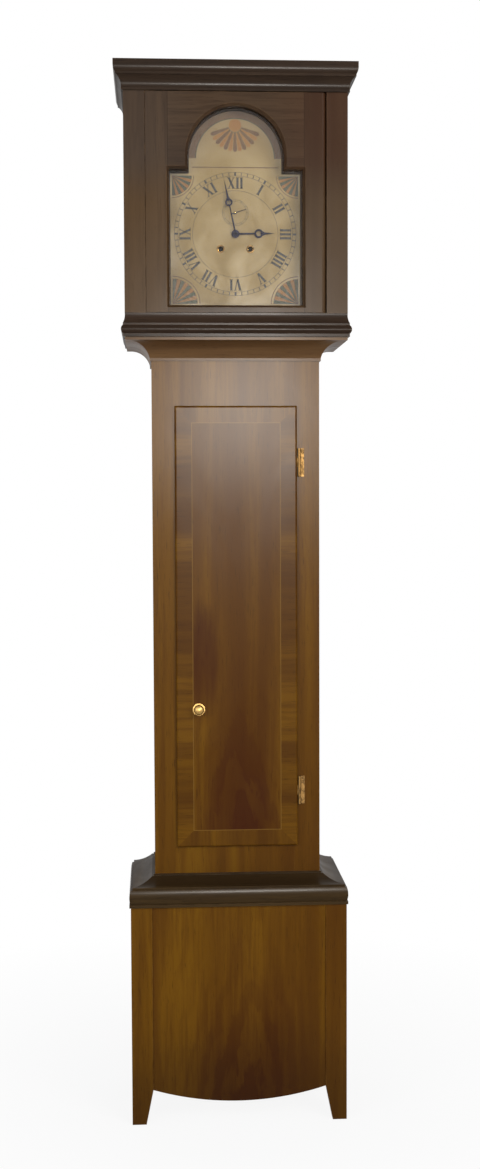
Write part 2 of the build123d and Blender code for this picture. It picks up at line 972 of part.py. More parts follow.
def ring_of(count, phase, steps):
    """Corners of a toothed outline: each step is a radius and an angle from the middle of its tooth."""
    pitch = 2 * pi / count
    corners = []
    for tooth in range(count):
        middle = phase + tooth * pitch
        corners += [(radius * cos(middle + angle), radius * sin(middle + angle)) for radius, angle in steps]
    return polygon(corners)


def wheel_outline(teeth, module, tooth_bearing):
    """Wheel teeth with flat tips and V-shaped roots, one tooth on the given bearing."""
    pitch_radius = module * teeth / 2
    tip = pitch_radius + tooth_addendum * module
    half_tip = tooth_half_tip * module / tip
    steps = [(pitch_radius - tooth_dedendum * module, -pi / teeth), (tip, -half_tip), (tip, half_tip)]
    return ring_of(teeth, tooth_bearing, steps)


def pinion_outline(leaves, module, space_bearing):
    """Pinion leaves, with a space on the given bearing."""
    pitch_radius = module * leaves / 2
    root = pitch_radius - leaf_dedendum * module
    tip = pitch_radius + leaf_addendum * module
    half_root = leaf_half_root * module / root
    half_tip = leaf_half_tip * module / tip
    steps = [(root, -half_root), (tip, -half_tip), (tip, half_tip), (root, half_root)]
    return ring_of(leaves, space_bearing + pi / leaves, steps)


def crossed_wheel(teeth, module, tooth_bearing, arm=wheel_arm, hub=wheel_hub, rim=wheel_rim):
    """A toothed outline with its web crossed out to four arms, a hub and a rim."""
    rim_inside = module * teeth / 2 - tooth_dedendum * module - rim
    arms = Rectangle(2 * rim_inside + 2, arm) + Rectangle(arm, 2 * rim_inside + 2) + Circle(hub)
    windows = Circle(rim_inside) - arms
    return wheel_outline(teeth, module, tooth_bearing) - windows


def pivoted_arbor(place, radius=arbor_radius, front=-plate_thickness, back=plate_spacing + plate_thickness):
    """An arbor between the plates, with pivots running through them."""
    shoulder = joint_gap
    return shaft(place, radius, shoulder, plate_spacing - shoulder) + shaft(place, pivot_radius, front, back)


def ratchet_outline():
    pitch = 2 * pi / ratchet_teeth
    steps = [(ratchet_radius, 0), (ratchet_radius - ratchet_depth, 0.08 * pitch)]
    return ring_of(ratchet_teeth, 0, steps)


def barrel(place, ratchet_start):
    """Drum with grooves for the line, two flanges, a ratchet wheel and an arbor with a winding square."""
    drum = shaft(place, barrel_radius, barrel_start, barrel_end)
    for near in (barrel_start, barrel_end - flange_thickness):
        drum += shaft(place, flange_radius, near, near + flange_thickness)
    edge = flange_thickness + groove_margin
    spacing = (barrel_end - barrel_start - 2 * edge) / barrel_grooves
    groove = Circle(barrel_radius) - Circle(barrel_radius - groove_depth)
    for turn in range(barrel_grooves):
        near = barrel_start + edge + turn * spacing
        drum -= between(place, groove, near, near + spacing / 2)
    ratchet_end = ratchet_start + ratchet_thickness
    core = shaft(place, barrel_core_radius, min(ratchet_start, barrel_start), max(ratchet_end, barrel_end))
    ratchet = between(place, ratchet_outline(), ratchet_start, ratchet_end)
    front_end = front_plate_back - (dial_face - dial_thickness - square_recess)
    arbor = shaft(place, barrel_arbor_radius, joint_gap, plate_spacing - joint_gap)
    arbor += shaft(place, barrel_pivot_radius, 0, plate_spacing + plate_thickness)
    neck = shaft(place, barrel_neck_radius, -plate_thickness, joint_gap)
    square = between(place, Rectangle(square_side, square_side), front_end, -plate_thickness)
    return drum + core + ratchet + arbor + neck + square


def great_wheel(place, teeth, module, partner, start, ratchet_start):
    """A great wheel that turns on its barrel's arbor and carries the click for the ratchet."""
    end = start + great_thickness
    outline = crossed_wheel(teeth, module, bearing_to(place, partner), great_arm, great_hub, great_rim)
    wheel = between(place, outline - Circle(barrel_core_radius + running_clearance), start, end)
    inner = ratchet_radius + joint_gap
    outer = ratchet_radius + click_width
    click = make_face(
        Polyline((inner, 0), (outer, 0), turned(outer, click_angle), turned(inner, click_angle))
        + ThreePointArc(turned(inner, click_angle), turned(inner, click_angle / 2), (inner, 0))
    )
    return wheel + between(place, click, min(ratchet_start, start), max(ratchet_start + ratchet_thickness, end))


def turned(radius, angle):
    """A point at a radius and an angle in radians."""
    return (radius * cos(angle), radius * sin(angle))


def front_plate():
    """Front plate with its pivot holes and the stud of the minute wheel."""
    plate = plate_blank() - Circle(cannon_bore + pipe_clearance)
    for place in [*pivot_places(), pallet_place]:
        plate -= Pos(*local(place)) * Circle(pivot_radius + running_clearance)
    for place in (going_barrel_place, strike_barrel_place):
        plate -= Pos(*local(place)) * Circle(barrel_neck_radius + running_clearance)
    solid = between(centre_place, plate, -plate_thickness, 0)
    stud = shaft(minute_place, minute_stud_radius, in_front(hour_gap + minute_stud_margin), 0)
    shoulder = shaft(minute_place, minute_stud_shoulder, in_front(cannon_gap - joint_gap), 0)
    return solid + stud + shoulder


def back_plate():
    plate = plate_blank() - Pos(*local(pallet_place)) * Circle(crutch_hole_radius)
    for place in [*pivot_places(), centre_place]:
        plate -= Pos(*local(place)) * Circle(pivot_radius + running_clearance)
    for place in (going_barrel_place, strike_barrel_place):
        plate -= Pos(*local(place)) * Circle(barrel_pivot_radius + running_clearance)
    return between(centre_place, plate, plate_spacing, plate_spacing + plate_thickness)


def local(place):
    """A place as an offset from the centre arbor."""
    return (place[0] - centre_place[0], place[1] - centre_place[1])


def plate_blank():
    middle = (plate_rise - plate_drop) / 2
    return Pos(0, middle) * Rectangle(2 * plate_half_width, plate_rise + plate_drop)


def pivot_places():
    return [third_place, escape_place, pin_place, gathering_place, warning_place, fly_place, hammer_place]


def pillar_places():
    """Two lower pillars, two upper ones and one beside the going train."""
    x = plate_half_width - pillar_inset
    low = dial_centre - plate_drop + pillar_inset
    high = dial_centre + plate_rise - pillar_inset
    return [(-x, low), (x, low), (-x, high), (x, high), (x - side_pillar_inset, dial_centre + side_pillar_rise)]


def plate_pillars():
    """Turned pillars with a waist between three blocks. The seatboard's bolts enter the lower two."""
    lower = pillar_places()[:2]
    solids = []
    for place in pillar_places():
        pillar = shaft(place, pillar_radius - pillar_waist, 0, plate_spacing)
        for middle in (pillar_block / 2, plate_spacing / 2, plate_spacing - pillar_block / 2):
            length = middle_block if middle == plate_spacing / 2 else pillar_block
            pillar += shaft(place, pillar_radius, middle - length / 2, middle + length / 2)
        if place in lower:
            pillar -= bolt_shank(place)
        solids.append(pillar)
    return solids


def bolt_shank(place):
    """A bolt's shank, from under the seatboard up into a lower pillar."""
    y = y_at(bolt_depth)
    return rod((place[0], y, seatboard_bottom), (place[0], y, place[1]), seatboard_bolt_radius)


def seatboard_bolts():
    solids = []
    for place in pillar_places()[:2]:
        head = rod(
            (place[0], y_at(bolt_depth), seatboard_bottom - bolt_head_height),
            (place[0], y_at(bolt_depth), seatboard_bottom),
            seatboard_bolt_head,
        )
        solids.append(bolt_shank(place) + head)
    return solids


def back_cock():
    """A bridge behind the back plate that carries the pallets' rear pivot and the pendulum's suspension."""
    plate_back = plate_spacing + plate_thickness
    bridge_far = front_plate_back - (pendulum_depth - suspension_block / 2)
    bridge_near = front_plate_back - (pendulum_depth + suspension_block / 2)
    bar_near = plate_back + cock_gap
    bar_far = bar_near + cock_thickness
    bar_width = 2 * cock_half_span - cock_thickness
    foot = between(right_of_pallets(cock_half_span), Rectangle(9, 20), plate_back, plate_back + cock_thickness)
    arm = between(right_of_pallets(cock_half_span - 3), Rectangle(cock_thickness, 12), plate_back, bridge_far)
    lower_bar = between(pallet_place, Rectangle(bar_width, 12), bar_near, bar_far)
    lower_bar -= shaft(pallet_place, pivot_radius + running_clearance, bar_near, bar_far)
    seat = (pallet_place[0], pallet_place[1] + suspension_rise - cock_thickness / 2)
    top_bar = between(seat, Rectangle(bar_width, cock_thickness), bridge_near, bridge_far)
    slot_near = front_plate_back - (pendulum_depth + spring_width / 2 + 1)
    slot = between(seat, Rectangle(3, 8), slot_near, bridge_far)
    return both_sides(foot + arm)[0] + both_sides(foot + arm)[1] + lower_bar + top_bar - slot


def right_of_pallets(distance):
    return (pallet_place[0] + distance, pallet_place[1])


def centre_wheel():
    """Centre arbor with its pinion and wheel: it runs out through the front plate to carry the cannon wheel."""
    leaves = pinion_outline(centre_leaves, great_module, bearing_to(centre_place, going_barrel_place))
    pinion = piece(centre_place, leaves, centre_pinion_start, centre_pinion_length)
    outline = crossed_wheel(centre_teeth, centre_module, bearing_to(centre_place, third_place))
    wheel = piece(centre_place, outline, centre_wheel_start, wheel_thickness)
    front_end = front_plate_back - minute_hand_depth - 2 * pipe_end_margin
    arbor = shaft(centre_place, centre_arbor_radius, joint_gap, plate_spacing - joint_gap)
    arbor += shaft(centre_place, cannon_bore - running_clearance, front_end, plate_spacing)
    arbor += shaft(centre_place, pivot_radius, plate_spacing - 1, plate_spacing + plate_thickness)
    return pinion + wheel + arbor


def piece(place, sketch, start, length):
    """A flat outline centred on an arbor, made solid over a length behind the front plate's inner face."""
    return between(place, sketch, start, start + length)


def third_wheel():
    leaves = pinion_outline(third_leaves, centre_module, bearing_to(third_place, centre_place))
    pinion = piece(third_place, leaves, third_pinion_start, third_pinion_length)
    outline = crossed_wheel(third_teeth, third_module, bearing_to(third_place, escape_place), rim=light_rim)
    return pinion + piece(third_place, outline, third_wheel_start, wheel_thickness) + pivoted_arbor(third_place)


def escape_wheel():
    """Thirty pointed teeth on four arms. Its arbor runs out through the dial to carry the seconds hand."""
    leaves = pinion_outline(escape_leaves, third_module, bearing_to(escape_place, third_place))
    pinion = piece(escape_place, leaves, escape_pinion_start, escape_pinion_length)
    pitch = 2 * pi / escape_teeth
    root = escape_radius - escape_tooth_depth
    rim_inside = root - escape_rim
    arms = Rectangle(2 * rim_inside + 2, 2.4) + Rectangle(2.4, 2 * rim_inside + 2) + Circle(3.5)
    outline = ring_of(escape_teeth, 0, [(escape_radius, 0), (root, 0.18 * pitch)]) - (Circle(rim_inside) - arms)
    wheel = piece(escape_place, outline, escape_wheel_start, wheel_thickness)
    front_end = front_plate_back - (dial_face + 4)
    arbor = shaft(escape_place, 1.5, joint_gap, plate_spacing - joint_gap)
    arbor += shaft(escape_place, pivot_radius, front_end, plate_spacing + plate_thickness)
    return pinion + wheel + arbor


def pallet_arbor():
    """Anchor pallets, their arbor, and the crutch behind the back plate that guides the pendulum."""
    nib = escape_radius * cos(pi / 4) + 1.2
    drop = pallet_rise - escape_rise - nib
    arm = [
        (0, 3),
        (nib - 2, -drop + 10),
        (nib + 4, -drop + 3.5),
        (nib + 1.2, -drop),
        (nib, -drop - 0.2),
        (nib - 0.6, -drop + 2.6),
        (nib - 4, -drop + 6),
        (0, -3),
    ]
    anchor = polygon(arm) + polygon([(-x, z) for x, z in arm]) + Circle(4.5)
    crutch_near = front_plate_back - crutch_depth
    arbor = shaft(pallet_place, arbor_radius, joint_gap, crutch_near + 2)
    back_end = plate_spacing + plate_thickness + cock_gap + cock_thickness
    arbor += shaft(pallet_place, pivot_radius, -plate_thickness, back_end)
    stem_bottom = pallet_place[1] - crutch_length
    crutch_y = plates_y + crutch_near
    stem = rod((0, crutch_y, pallet_place[1]), (0, crutch_y, stem_bottom), crutch_radius)
    fork_far = front_plate_back - (pendulum_depth - 5)
    prong_x = rod_radius + joint_gap + fork_width / 2
    fork_bar = Rectangle(2 * prong_x + fork_width, 3)
    fork = between((0, stem_bottom), fork_bar, crutch_near - 1, crutch_near + 1.4)
    for side in (-1, 1):
        fork += between((side * prong_x, stem_bottom), Rectangle(fork_width, 3), crutch_near - 1, fork_far)
    return piece(pallet_place, anchor, pallet_start, pallet_width) + arbor + stem + fork


def pendulum_rod():
    """Rod, suspension spring and the block that rests on the back cock."""
    axis_z = pallet_place[1]
    bob_z = axis_z - pendulum_length
    y = y_at(pendulum_depth)
    seat = axis_z + suspension_rise
    rod_top = axis_z - spring_length + 2
    shank = rod((0, y, bob_z - bob_radius - rod_below_bob), (0, y, rod_top), rod_radius)
    strip_bottom = axis_z - spring_length
    strip_top = seat + 1
    strip_middle = (strip_bottom + strip_top - 1) / 2
    strip = Pos(0, y, strip_middle) * Box(spring_thickness, spring_width, strip_top - strip_bottom)
    top = Pos(0, y, seat + joint_gap + 3.2) * Box(suspension_block, spring_width, suspension_block / 2)
    return shank + strip + top


def pendulum_bob():
    """A lens of brass over iron, and the rating nut it rests on."""
    bob_z = pallet_place[1] - pendulum_length
    y = y_at(pendulum_depth)
    front = bob_thickness / 2
    edge = bob_rim / 2
    swell = (0.62 * bob_radius, 0.3 * bob_thickness + 0.5)
    outline = make_face(
        Line((0, -front), (0, front))
        + ThreePointArc((0, front), swell, (bob_radius, edge))
        + Line((bob_radius, edge), (bob_radius, -edge))
        + ThreePointArc((bob_radius, -edge), (swell[0], -swell[1]), (0, -front))
    )
    plane = Plane(origin=(0, y, bob_z), x_dir=(1, 0, 0), z_dir=(0, 0, 1))
    lens = revolve(plane * outline, Axis((0, y, bob_z), (0, 1, 0)))
    lens -= rod((0, y, bob_z - bob_radius - 1), (0, y, bob_z + bob_radius + 1), rod_radius)
    nut_top = bob_z - bob_radius
    nut = rod((0, y, nut_top - 9), (0, y, nut_top - 2), 8)
    nut += rod((0, y, nut_top - 2), (0, y, nut_top), 3.5)
    nut -= rod((0, y, nut_top - 10), (0, y, nut_top + 1), rod_radius)
    return [lens, nut]


# Motion work, in front of the front plate

def in_front(distance):
    """A distance in front of the front plate's face, as the negative distance behind its inner face."""
    return -plate_thickness - distance


def cannon_wheel():
    """The pipe that carries the minute hand, with its wheel."""
    outline = wheel_outline(cannon_teeth, cannon_module, bearing_to(centre_place, minute_place))
    wheel = between(centre_place, outline, in_front(cannon_gap + wheel_thickness), in_front(cannon_gap))
    pipe_end = front_plate_back - minute_hand_depth - pipe_end_margin
    pipe = shaft(centre_place, cannon_pipe_radius, pipe_end, in_front(0.5))
    return wheel + pipe - shaft(centre_place, cannon_bore, pipe_end, in_front(0.5))


def minute_wheel():
    """Minute wheel and pinion, which turn on a stud in the front plate."""
    half_pitch = pi / minute_teeth
    mesh = bearing_to(minute_place, centre_place)
    wheel_front = in_front(cannon_gap + wheel_thickness)
    pinion_front = in_front(hour_gap + minute_pinion_margin)
    teeth = wheel_outline(minute_teeth, cannon_module, mesh + half_pitch)
    wheel = between(minute_place, teeth, wheel_front, in_front(cannon_gap))
    pinion = between(minute_place, pinion_outline(minute_leaves, hour_module, mesh), pinion_front, wheel_front)
    return wheel + pinion - shaft(minute_place, minute_stud_radius + running_clearance, pinion_front, 0)


def hour_wheel():
    """Hour wheel, its pipe over the cannon pipe, and the stepped snail that sets the number of blows."""
    outline = crossed_wheel(hour_teeth, hour_module, bearing_to(centre_place, minute_place), hub=7)
    wheel_front = in_front(hour_gap + wheel_thickness)
    wheel = between(centre_place, outline, wheel_front, in_front(hour_gap))
    pipe_end = front_plate_back - hour_hand_depth - pipe_end_margin
    pipe = shaft(centre_place, hour_pipe_radius, pipe_end, in_front(hour_gap))
    corners = []
    for hour in range(12):
        radius = snail_radius - snail_step * hour
        corners.append(turned(radius, radians(-30 * hour)))
        corners.append(turned(radius, radians(-30 * (hour + 1))))
    snail = between(centre_place, polygon(corners), wheel_front - snail_thickness, wheel_front)
    bore = shaft(centre_place, cannon_pipe_radius + running_clearance, pipe_end, in_front(hour_gap - 1))
    return wheel + pipe + snail - bore


# Dial and hands

def dial_plate():
    """Sheet-iron dial with an arch, and holes for the hands' arbors and the winding key."""
    plate = arched_outline(dial_margin)
    plate -= Pos(*centre_place) * Circle(hour_pipe_radius + pipe_clearance)
    plate -= Pos(*escape_place) * Circle(seconds_hole_radius)
    for place in (going_barrel_place, strike_barrel_place):
        plate -= Pos(*place) * Circle(winding_hole_radius)
    return board_from(plate, (dial_face - dial_thickness, dial_face))


def dial_feet():
    """Four pillars between the dial and the front plate."""
    dial_back = front_plate_back - (dial_face - dial_thickness)
    feet = []
    for side in (-1, 1):
        for rise in (-dial_foot_drop, dial_foot_rise):
            place = (side * dial_foot_half_span, dial_centre + rise)
            feet.append(shaft(place, dial_foot_radius, dial_back, -plate_thickness))
    return feet


def hand(outline, place, depth, turn):
    """A hand drawn pointing up, turned clockwise to the time shown."""
    pointed = Rot(0, 0, -turn) * outline
    near = front_plate_back - depth - hand_thickness
    return between(place, pointed, near, near + hand_thickness)


def pointed_hand(length, width, tail, boss, bore):
    """A pierced hand: a boss, a slender shank, an open ring and a spear point."""
    half = width / 2
    shank_end = 0.5 * length
    ring_middle = shank_end + 2 * width
    spear_start = ring_middle + 2 * width
    shank = polygon([(-half, 0), (-0.7 * half, shank_end), (0.7 * half, shank_end), (half, 0)])
    ring = Pos(0, ring_middle) * (Circle(2.3 * width) - Circle(1.3 * width))
    spear = polygon([(-0.7 * width, spear_start), (0, length), (0.7 * width, spear_start)])
    crescent = Pos(0, spear_start) * Circle(1.1 * width)
    tail_piece = polygon([(-width / 2, 0), (width / 2, 0), (0.3 * width, -tail), (-0.3 * width, -tail)])
    return shank + ring + spear + crescent + tail_piece + Circle(boss) - Circle(bore)


def hour_hand():
    turn = 30 * (2 + minute_of_hour / 60)
    outline = pointed_hand(hour_hand_length, 4, 4, 8.5, hour_pipe_radius)
    return hand(outline, centre_place, hour_hand_depth, turn)


def minute_hand():
    outline = pointed_hand(minute_hand_length, 3.4, 6, 6.5, cannon_pipe_radius)
    return hand(outline, centre_place, minute_hand_depth, 6 * minute_of_hour)


def seconds_hand():
    needle = polygon([(-0.9, -8), (0.9, -8), (0.5, seconds_hand_length), (-0.5, seconds_hand_length)])
    outline = needle + Circle(2.6) - Circle(pivot_radius)
    return hand(outline, escape_place, dial_face + seconds_hand_gap, 6 * seconds_shown)


# Striking train

def pin_wheel():
    """Eight pins on the pin wheel lift the hammer's tail."""
    leaves = pinion_outline(pin_leaves, strike_great_module, bearing_to(pin_place, strike_barrel_place))
    pinion = piece(pin_place, leaves, pin_pinion_start, pin_pinion_length)
    outline = crossed_wheel(pin_teeth, pin_module, bearing_to(pin_place, gathering_place), rim=5)
    wheel = piece(pin_place, outline, pin_wheel_start, wheel_thickness)
    for pin in range(8):
        place = reach(pin_place, pin_circle(), 45 * pin + 10)
        wheel += shaft(place, 0.9, pin_wheel_start - lifting_pin_length, pin_wheel_start)
    return pinion + wheel + pivoted_arbor(pin_place)


def pin_circle():
    return pin_module * pin_teeth / 2 - 3.6


def gathering_wheel():
    leaves = pinion_outline(gathering_leaves, pin_module, bearing_to(gathering_place, pin_place))
    pinion = piece(gathering_place, leaves, gathering_pinion_start, gathering_pinion_length)
    bearing = bearing_to(gathering_place, warning_place)
    outline = crossed_wheel(gathering_teeth, gathering_module, bearing, rim=light_rim)
    wheel = piece(gathering_place, outline, gathering_wheel_start, wheel_thickness)
    return pinion + wheel + pivoted_arbor(gathering_place, 1.5)


def warning_wheel():
    leaves = pinion_outline(warning_leaves, gathering_module, bearing_to(warning_place, gathering_place))
    pinion = piece(warning_place, leaves, warning_pinion_start, warning_pinion_length)
    bearing = bearing_to(warning_place, fly_place)
    outline = crossed_wheel(warning_teeth, warning_module, bearing, arm=2.4, hub=4, rim=2.4)
    wheel = piece(warning_place, outline, warning_wheel_start, warning_wheel_thickness)
    return pinion + wheel + pivoted_arbor(warning_place, 1.3)


def fly():
    """Two air vanes that govern the speed of striking."""
    leaves = pinion_outline(fly_leaves, warning_module, bearing_to(fly_place, warning_place))
    pinion = piece(fly_place, leaves, fly_pinion_start, fly_pinion_length)
    vanes = piece(fly_place, Rectangle(26, 0.9) + Circle(2), fly_start, fly_length)
    return pinion + vanes + pivoted_arbor(fly_place, 1.2)


def bell_hammer():
    """Arbor, tail in the path of the pins, stem and head."""
    arbor = pivoted_arbor(hammer_place)
    tail_tip = (pin_place[0] - pin_circle() * 0.55 - 4.5, pin_place[1] + pin_circle() + 3)
    tail_y = plates_y + hammer_tail_place
    tail_root = (hammer_place[0], tail_y, hammer_place[1])
    tail = rod(tail_root, (tail_tip[0], tail_y, tail_tip[1]), hammer_tail_radius)
    collar = shaft(hammer_place, hammer_collar, 6, 9)
    stem_y = plates_y + bell_place
    hub = shaft(hammer_place, hammer_collar, bell_place - hammer_collar, bell_place + hammer_collar)
    head_z = dial_centre + hammer_head_rise
    face_x = -(bell_radius + hammer_gap)
    head_end = face_x - hammer_head_length
    head_middle = (face_x + head_end) / 2
    stem = rod((hammer_place[0], stem_y, hammer_place[1]), (head_middle, stem_y, head_z), hammer_stem_radius)
    head = rod((head_end, stem_y, head_z), (face_x, stem_y, head_z), hammer_head_radius)
    return arbor + tail + collar + stem + head + hub


def bell():
    """A shallow cast bell, mouth down, with a hole at its crown for the stand."""
    middle = bell_middle()
    plane = Plane(origin=middle, x_dir=(1, 0, 0), z_dir=(0, -1, 0))
    axis = Axis(middle, (0, 0, 1))
    shell = revolve(plane * bell_half(0), axis) - revolve(plane * bell_half(bell_wall), axis)
    crown = middle[2] + bell_height
    boss_bottom = crown - bell_boss
    shell += rod((middle[0], middle[1], boss_bottom), (middle[0], middle[1], crown), 2 * bell_post_radius)
    return shell - rod((middle[0], middle[1], boss_bottom), (middle[0], middle[1], crown), bell_screw_radius)


def bell_half(inset):
    """Half the bell's outline, or of the hollow inside it."""
    half_width = bell_radius - 1 - inset
    rise = bell_height - inset - bell_lip
    curve = Polyline((half_width, bell_lip), (half_width + 1, 0), (0, 0), (0, bell_height - inset))
    return make_face(curve + EllipticalCenterArc((0, bell_lip), half_width, rise, 0, arc_size=90))


def bell_middle():
    return (0, plates_y + bell_place, dial_centre + bell_rise)


def bell_stand():
    """An iron rod from the back plate, bent forward under the bell and up through its crown, with a nut."""
    middle = bell_middle()
    back = plates_y + plate_spacing + plate_thickness + bell_post_radius
    bend_z = dial_centre + plate_rise + 9
    path = FilletPolyline(
        (bell_post_offset, back, dial_centre + plate_rise - bell_post_start),
        (bell_post_offset, back, bend_z),
        (0, middle[1], bend_z),
        (0, middle[1], middle[2] + bell_height - bell_boss),
        radius=bell_bend,
    )
    section = Plane(origin=path @ 0, z_dir=path % 0) * Circle(bell_post_radius)
    stand = sweep(section, path=path)
    crown = middle[2] + bell_height
    stand += rod((0, middle[1], crown - bell_boss - 1), (0, middle[1], crown + 5), bell_screw_radius)
    stand += rod((0, middle[1], crown), (0, middle[1], crown + bell_nut_height), bell_nut_radius)
    return stand


# Weights and lines

def weight(side):
    """A cast weight, and the pulley that hangs it from the line, as large as the barrel above it."""
    x = side * barrel_offset
    y = y_at(line_depth)
    low = weight_rest - weight_hook
    half = pulley_thickness / 2
    rim = barrel_radius + pulley_rim
    hole = pulley_pin_radius
    groove = make_face(
        Polyline(
            (hole, -half), (rim, -half), (barrel_radius, -1), (barrel_radius, 1), (rim, half), (hole, half),
            close=True,
        )
    )
    plane = Plane(origin=(x, y, weight_rest), x_dir=(1, 0, 0), z_dir=(0, 0, 1))
    pulley = revolve(plane * groove, Axis((x, y, weight_rest), (0, 1, 0)))
    pin = rod((x, y - half - 3, weight_rest), (x, y + half + 3, weight_rest), pulley_pin_radius)
    strap_half = half + strap_gap
    strap_middle = (weight_rest + low) / 2 + 6
    carrier = pin + Pos(x, y, low + 7.5) * Box(strap_width, 2 * (strap_half + strap_thickness), 3)
    for front in (-1, 1):
        strap_y = y + front * (strap_half + strap_thickness / 2)
        carrier += Pos(x, strap_y, strap_middle) * Box(strap_width, strap_thickness, weight_hook)
    body = rod((x, y, low - weight_height), (x, y, low - 4), weight_radius)
    body = chamfer(body.edges().filter_by(GeomType.CIRCLE), 3)
    carrier += rod((x, y, low), (x, y, low + 7), 2)
    carrier += rod((x, y, low - 5), (x, y, low + 0.5), 5)
    return [carrier + body, pulley - pin]


def line(side):
    """A gut line: down from the barrel, round the pulley and up to its knot on the seatboard."""
    y = y_at(line_depth)
    start_x, end_x = line_places(side)
    middle_x = (start_x + end_x) / 2
    top = going_barrel_place[1]
    lowest = weight_rest - line_reach
    path = Line((start_x, y, top), (start_x, y, weight_rest))
    path += ThreePointArc((start_x, y, weight_rest), (middle_x, y, lowest), (end_x, y, weight_rest))
    path += Line((end_x, y, weight_rest), (end_x, y, seatboard_top + 1))
    section = Plane(origin=(start_x, y, top), z_dir=(0, 0, -1)) * Circle(line_radius)
    cord = sweep(section, path=path)
    knot = Pos(end_x, y, seatboard_top + knot_radius + joint_gap) * Sphere(knot_radius)
    return cord + knot


os.makedirs("parts", exist_ok=True)

save("backboard", backboard())
save("trunk_sides", *trunk_sides())
save("trunk_front_frame", *trunk_front_frame())
save("throat_moulding", *throat_moulding())
save("waist_moulding", *waist_moulding())
save("waist_blocks", *waist_blocks())
save("base_front_panel", base_front_panel())
save("base_corner_posts", *corner_posts())
save("base_sides", *base_sides())
save("base_bottom_board", base_bottom_board())
save("seatboard", seatboard())
save("trunk_hinge_plates", *trunk_hinge_plates())

save("hood_cornice", *hood_cornice())
save("hood_top_board", hood_top_board())
save("hood_sides", *hood_sides())
save("hood_front_frame", *hood_front_frame())
save("hood_mask", hood_mask())
save("hood_base_rails", *hood_rails())
save("hood_door_frame", hood_door_frame())
save("hood_door_glass", hood_door_glass())
save("hood_door_pivots", *hood_door_pivots())

save("trunk_door", trunk_door())
save("trunk_door_hinge_leaves", *trunk_door_hinge_leaves())
save("trunk_door_catch", trunk_door_catch())

save("dial_plate", dial_plate())
save("dial_feet", *dial_feet())
save("hour_hand", hour_hand())
save("minute_hand", minute_hand())
save("seconds_hand", seconds_hand())

save("movement_front_plate", front_plate())
save("movement_back_plate", back_plate())
save("plate_pillars", *plate_pillars())
save("seatboard_bolts", *seatboard_bolts())
save("back_cock", back_cock())
save("bell", bell())
save("bell_stand", bell_stand())

going_teeth = (great_teeth, great_module, centre_place)
going_starts = (going_great_start, going_ratchet_start)
save("going_great_wheel", great_wheel(going_barrel_place, *going_teeth, *going_starts))
save("going_barrel", barrel(going_barrel_place, going_ratchet_start))
save("centre_wheel", centre_wheel())
save("third_wheel", third_wheel())
save("escape_wheel", escape_wheel())
save("pallet_arbor", pallet_arbor())
save("pendulum_rod", pendulum_rod())
save("pendulum_bob", *pendulum_bob())
save("cannon_wheel", cannon_wheel())
save("minute_wheel", minute_wheel())
save("hour_wheel", hour_wheel())

strike_teeth = (strike_great_teeth, strike_great_module, pin_place)
strike_starts = (strike_great_start, strike_ratchet_start)
save("strike_great_wheel", great_wheel(strike_barrel_place, *strike_teeth, *strike_starts))
save("strike_barrel", barrel(strike_barrel_place, strike_ratchet_start))
save("pin_wheel", pin_wheel())
save("gathering_wheel", gathering_wheel())
save("warning_wheel", warning_wheel())
save("strike_fly", fly())
save("bell_hammer", bell_hammer())

save("going_weight", *weight(1))
save("strike_weight", *weight(-1))
save("going_line", line(1))
save("strike_line", line(-1))
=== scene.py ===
from math import cos, pi, radians, sin

import bmesh
import bpy
from mathutils import Matrix, Vector


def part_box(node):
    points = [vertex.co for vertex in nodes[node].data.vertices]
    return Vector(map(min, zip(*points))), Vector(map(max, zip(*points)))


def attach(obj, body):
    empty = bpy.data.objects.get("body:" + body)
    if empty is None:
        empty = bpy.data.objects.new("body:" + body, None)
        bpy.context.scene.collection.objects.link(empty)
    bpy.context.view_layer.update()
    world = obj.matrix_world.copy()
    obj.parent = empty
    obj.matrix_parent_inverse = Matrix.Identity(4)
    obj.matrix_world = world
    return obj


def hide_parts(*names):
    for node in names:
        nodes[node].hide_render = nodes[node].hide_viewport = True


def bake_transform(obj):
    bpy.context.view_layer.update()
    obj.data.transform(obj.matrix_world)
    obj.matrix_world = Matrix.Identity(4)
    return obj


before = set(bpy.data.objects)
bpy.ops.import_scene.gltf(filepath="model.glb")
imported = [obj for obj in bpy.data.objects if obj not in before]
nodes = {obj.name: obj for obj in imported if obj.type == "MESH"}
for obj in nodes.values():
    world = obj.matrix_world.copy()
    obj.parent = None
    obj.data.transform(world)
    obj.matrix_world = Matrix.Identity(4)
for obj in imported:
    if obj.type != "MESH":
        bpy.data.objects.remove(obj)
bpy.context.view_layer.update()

# Places in metres, read from the parts in model.glb
CENTRE_WHEEL_LOW, CENTRE_WHEEL_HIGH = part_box("centre_wheel")
DOOR_LOW, DOOR_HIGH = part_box("trunk_door")
PANEL_LOW, PANEL_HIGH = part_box("base_front_panel")
TRUNK_LOW, TRUNK_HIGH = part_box("trunk_sides")
HOOD_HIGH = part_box("hood_sides")[1]
HOOD_FRAME_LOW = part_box("hood_front_frame")[0]
HOOD_DOOR_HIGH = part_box("hood_door_frame")[1]
DIAL_Z = (CENTRE_WHEEL_LOW.z + CENTRE_WHEEL_HIGH.z) / 2
DIAL_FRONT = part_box("dial_plate")[0].y
SECONDS_Z = DIAL_Z + 0.044
WINDING = 0.031
TRUNK_FRONT = TRUNK_LOW.y - 0.020
PLATE_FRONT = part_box("movement_front_plate")[0].y

# Dial painting
CHAPTER_OUTER = 0.128
MINUTE_INNER = 0.1205
NUMERAL_OUTER = 0.117
NUMERAL_HEIGHT = 0.023
CHAPTER_INNER = 0.090
OPENING_HALF = 0.136
OPENING_BOTTOM = 1.739
OPENING_SHOULDER = 2.012
ARCH_CENTRE = 2.044
PAINT_THICKNESS = 0.00012

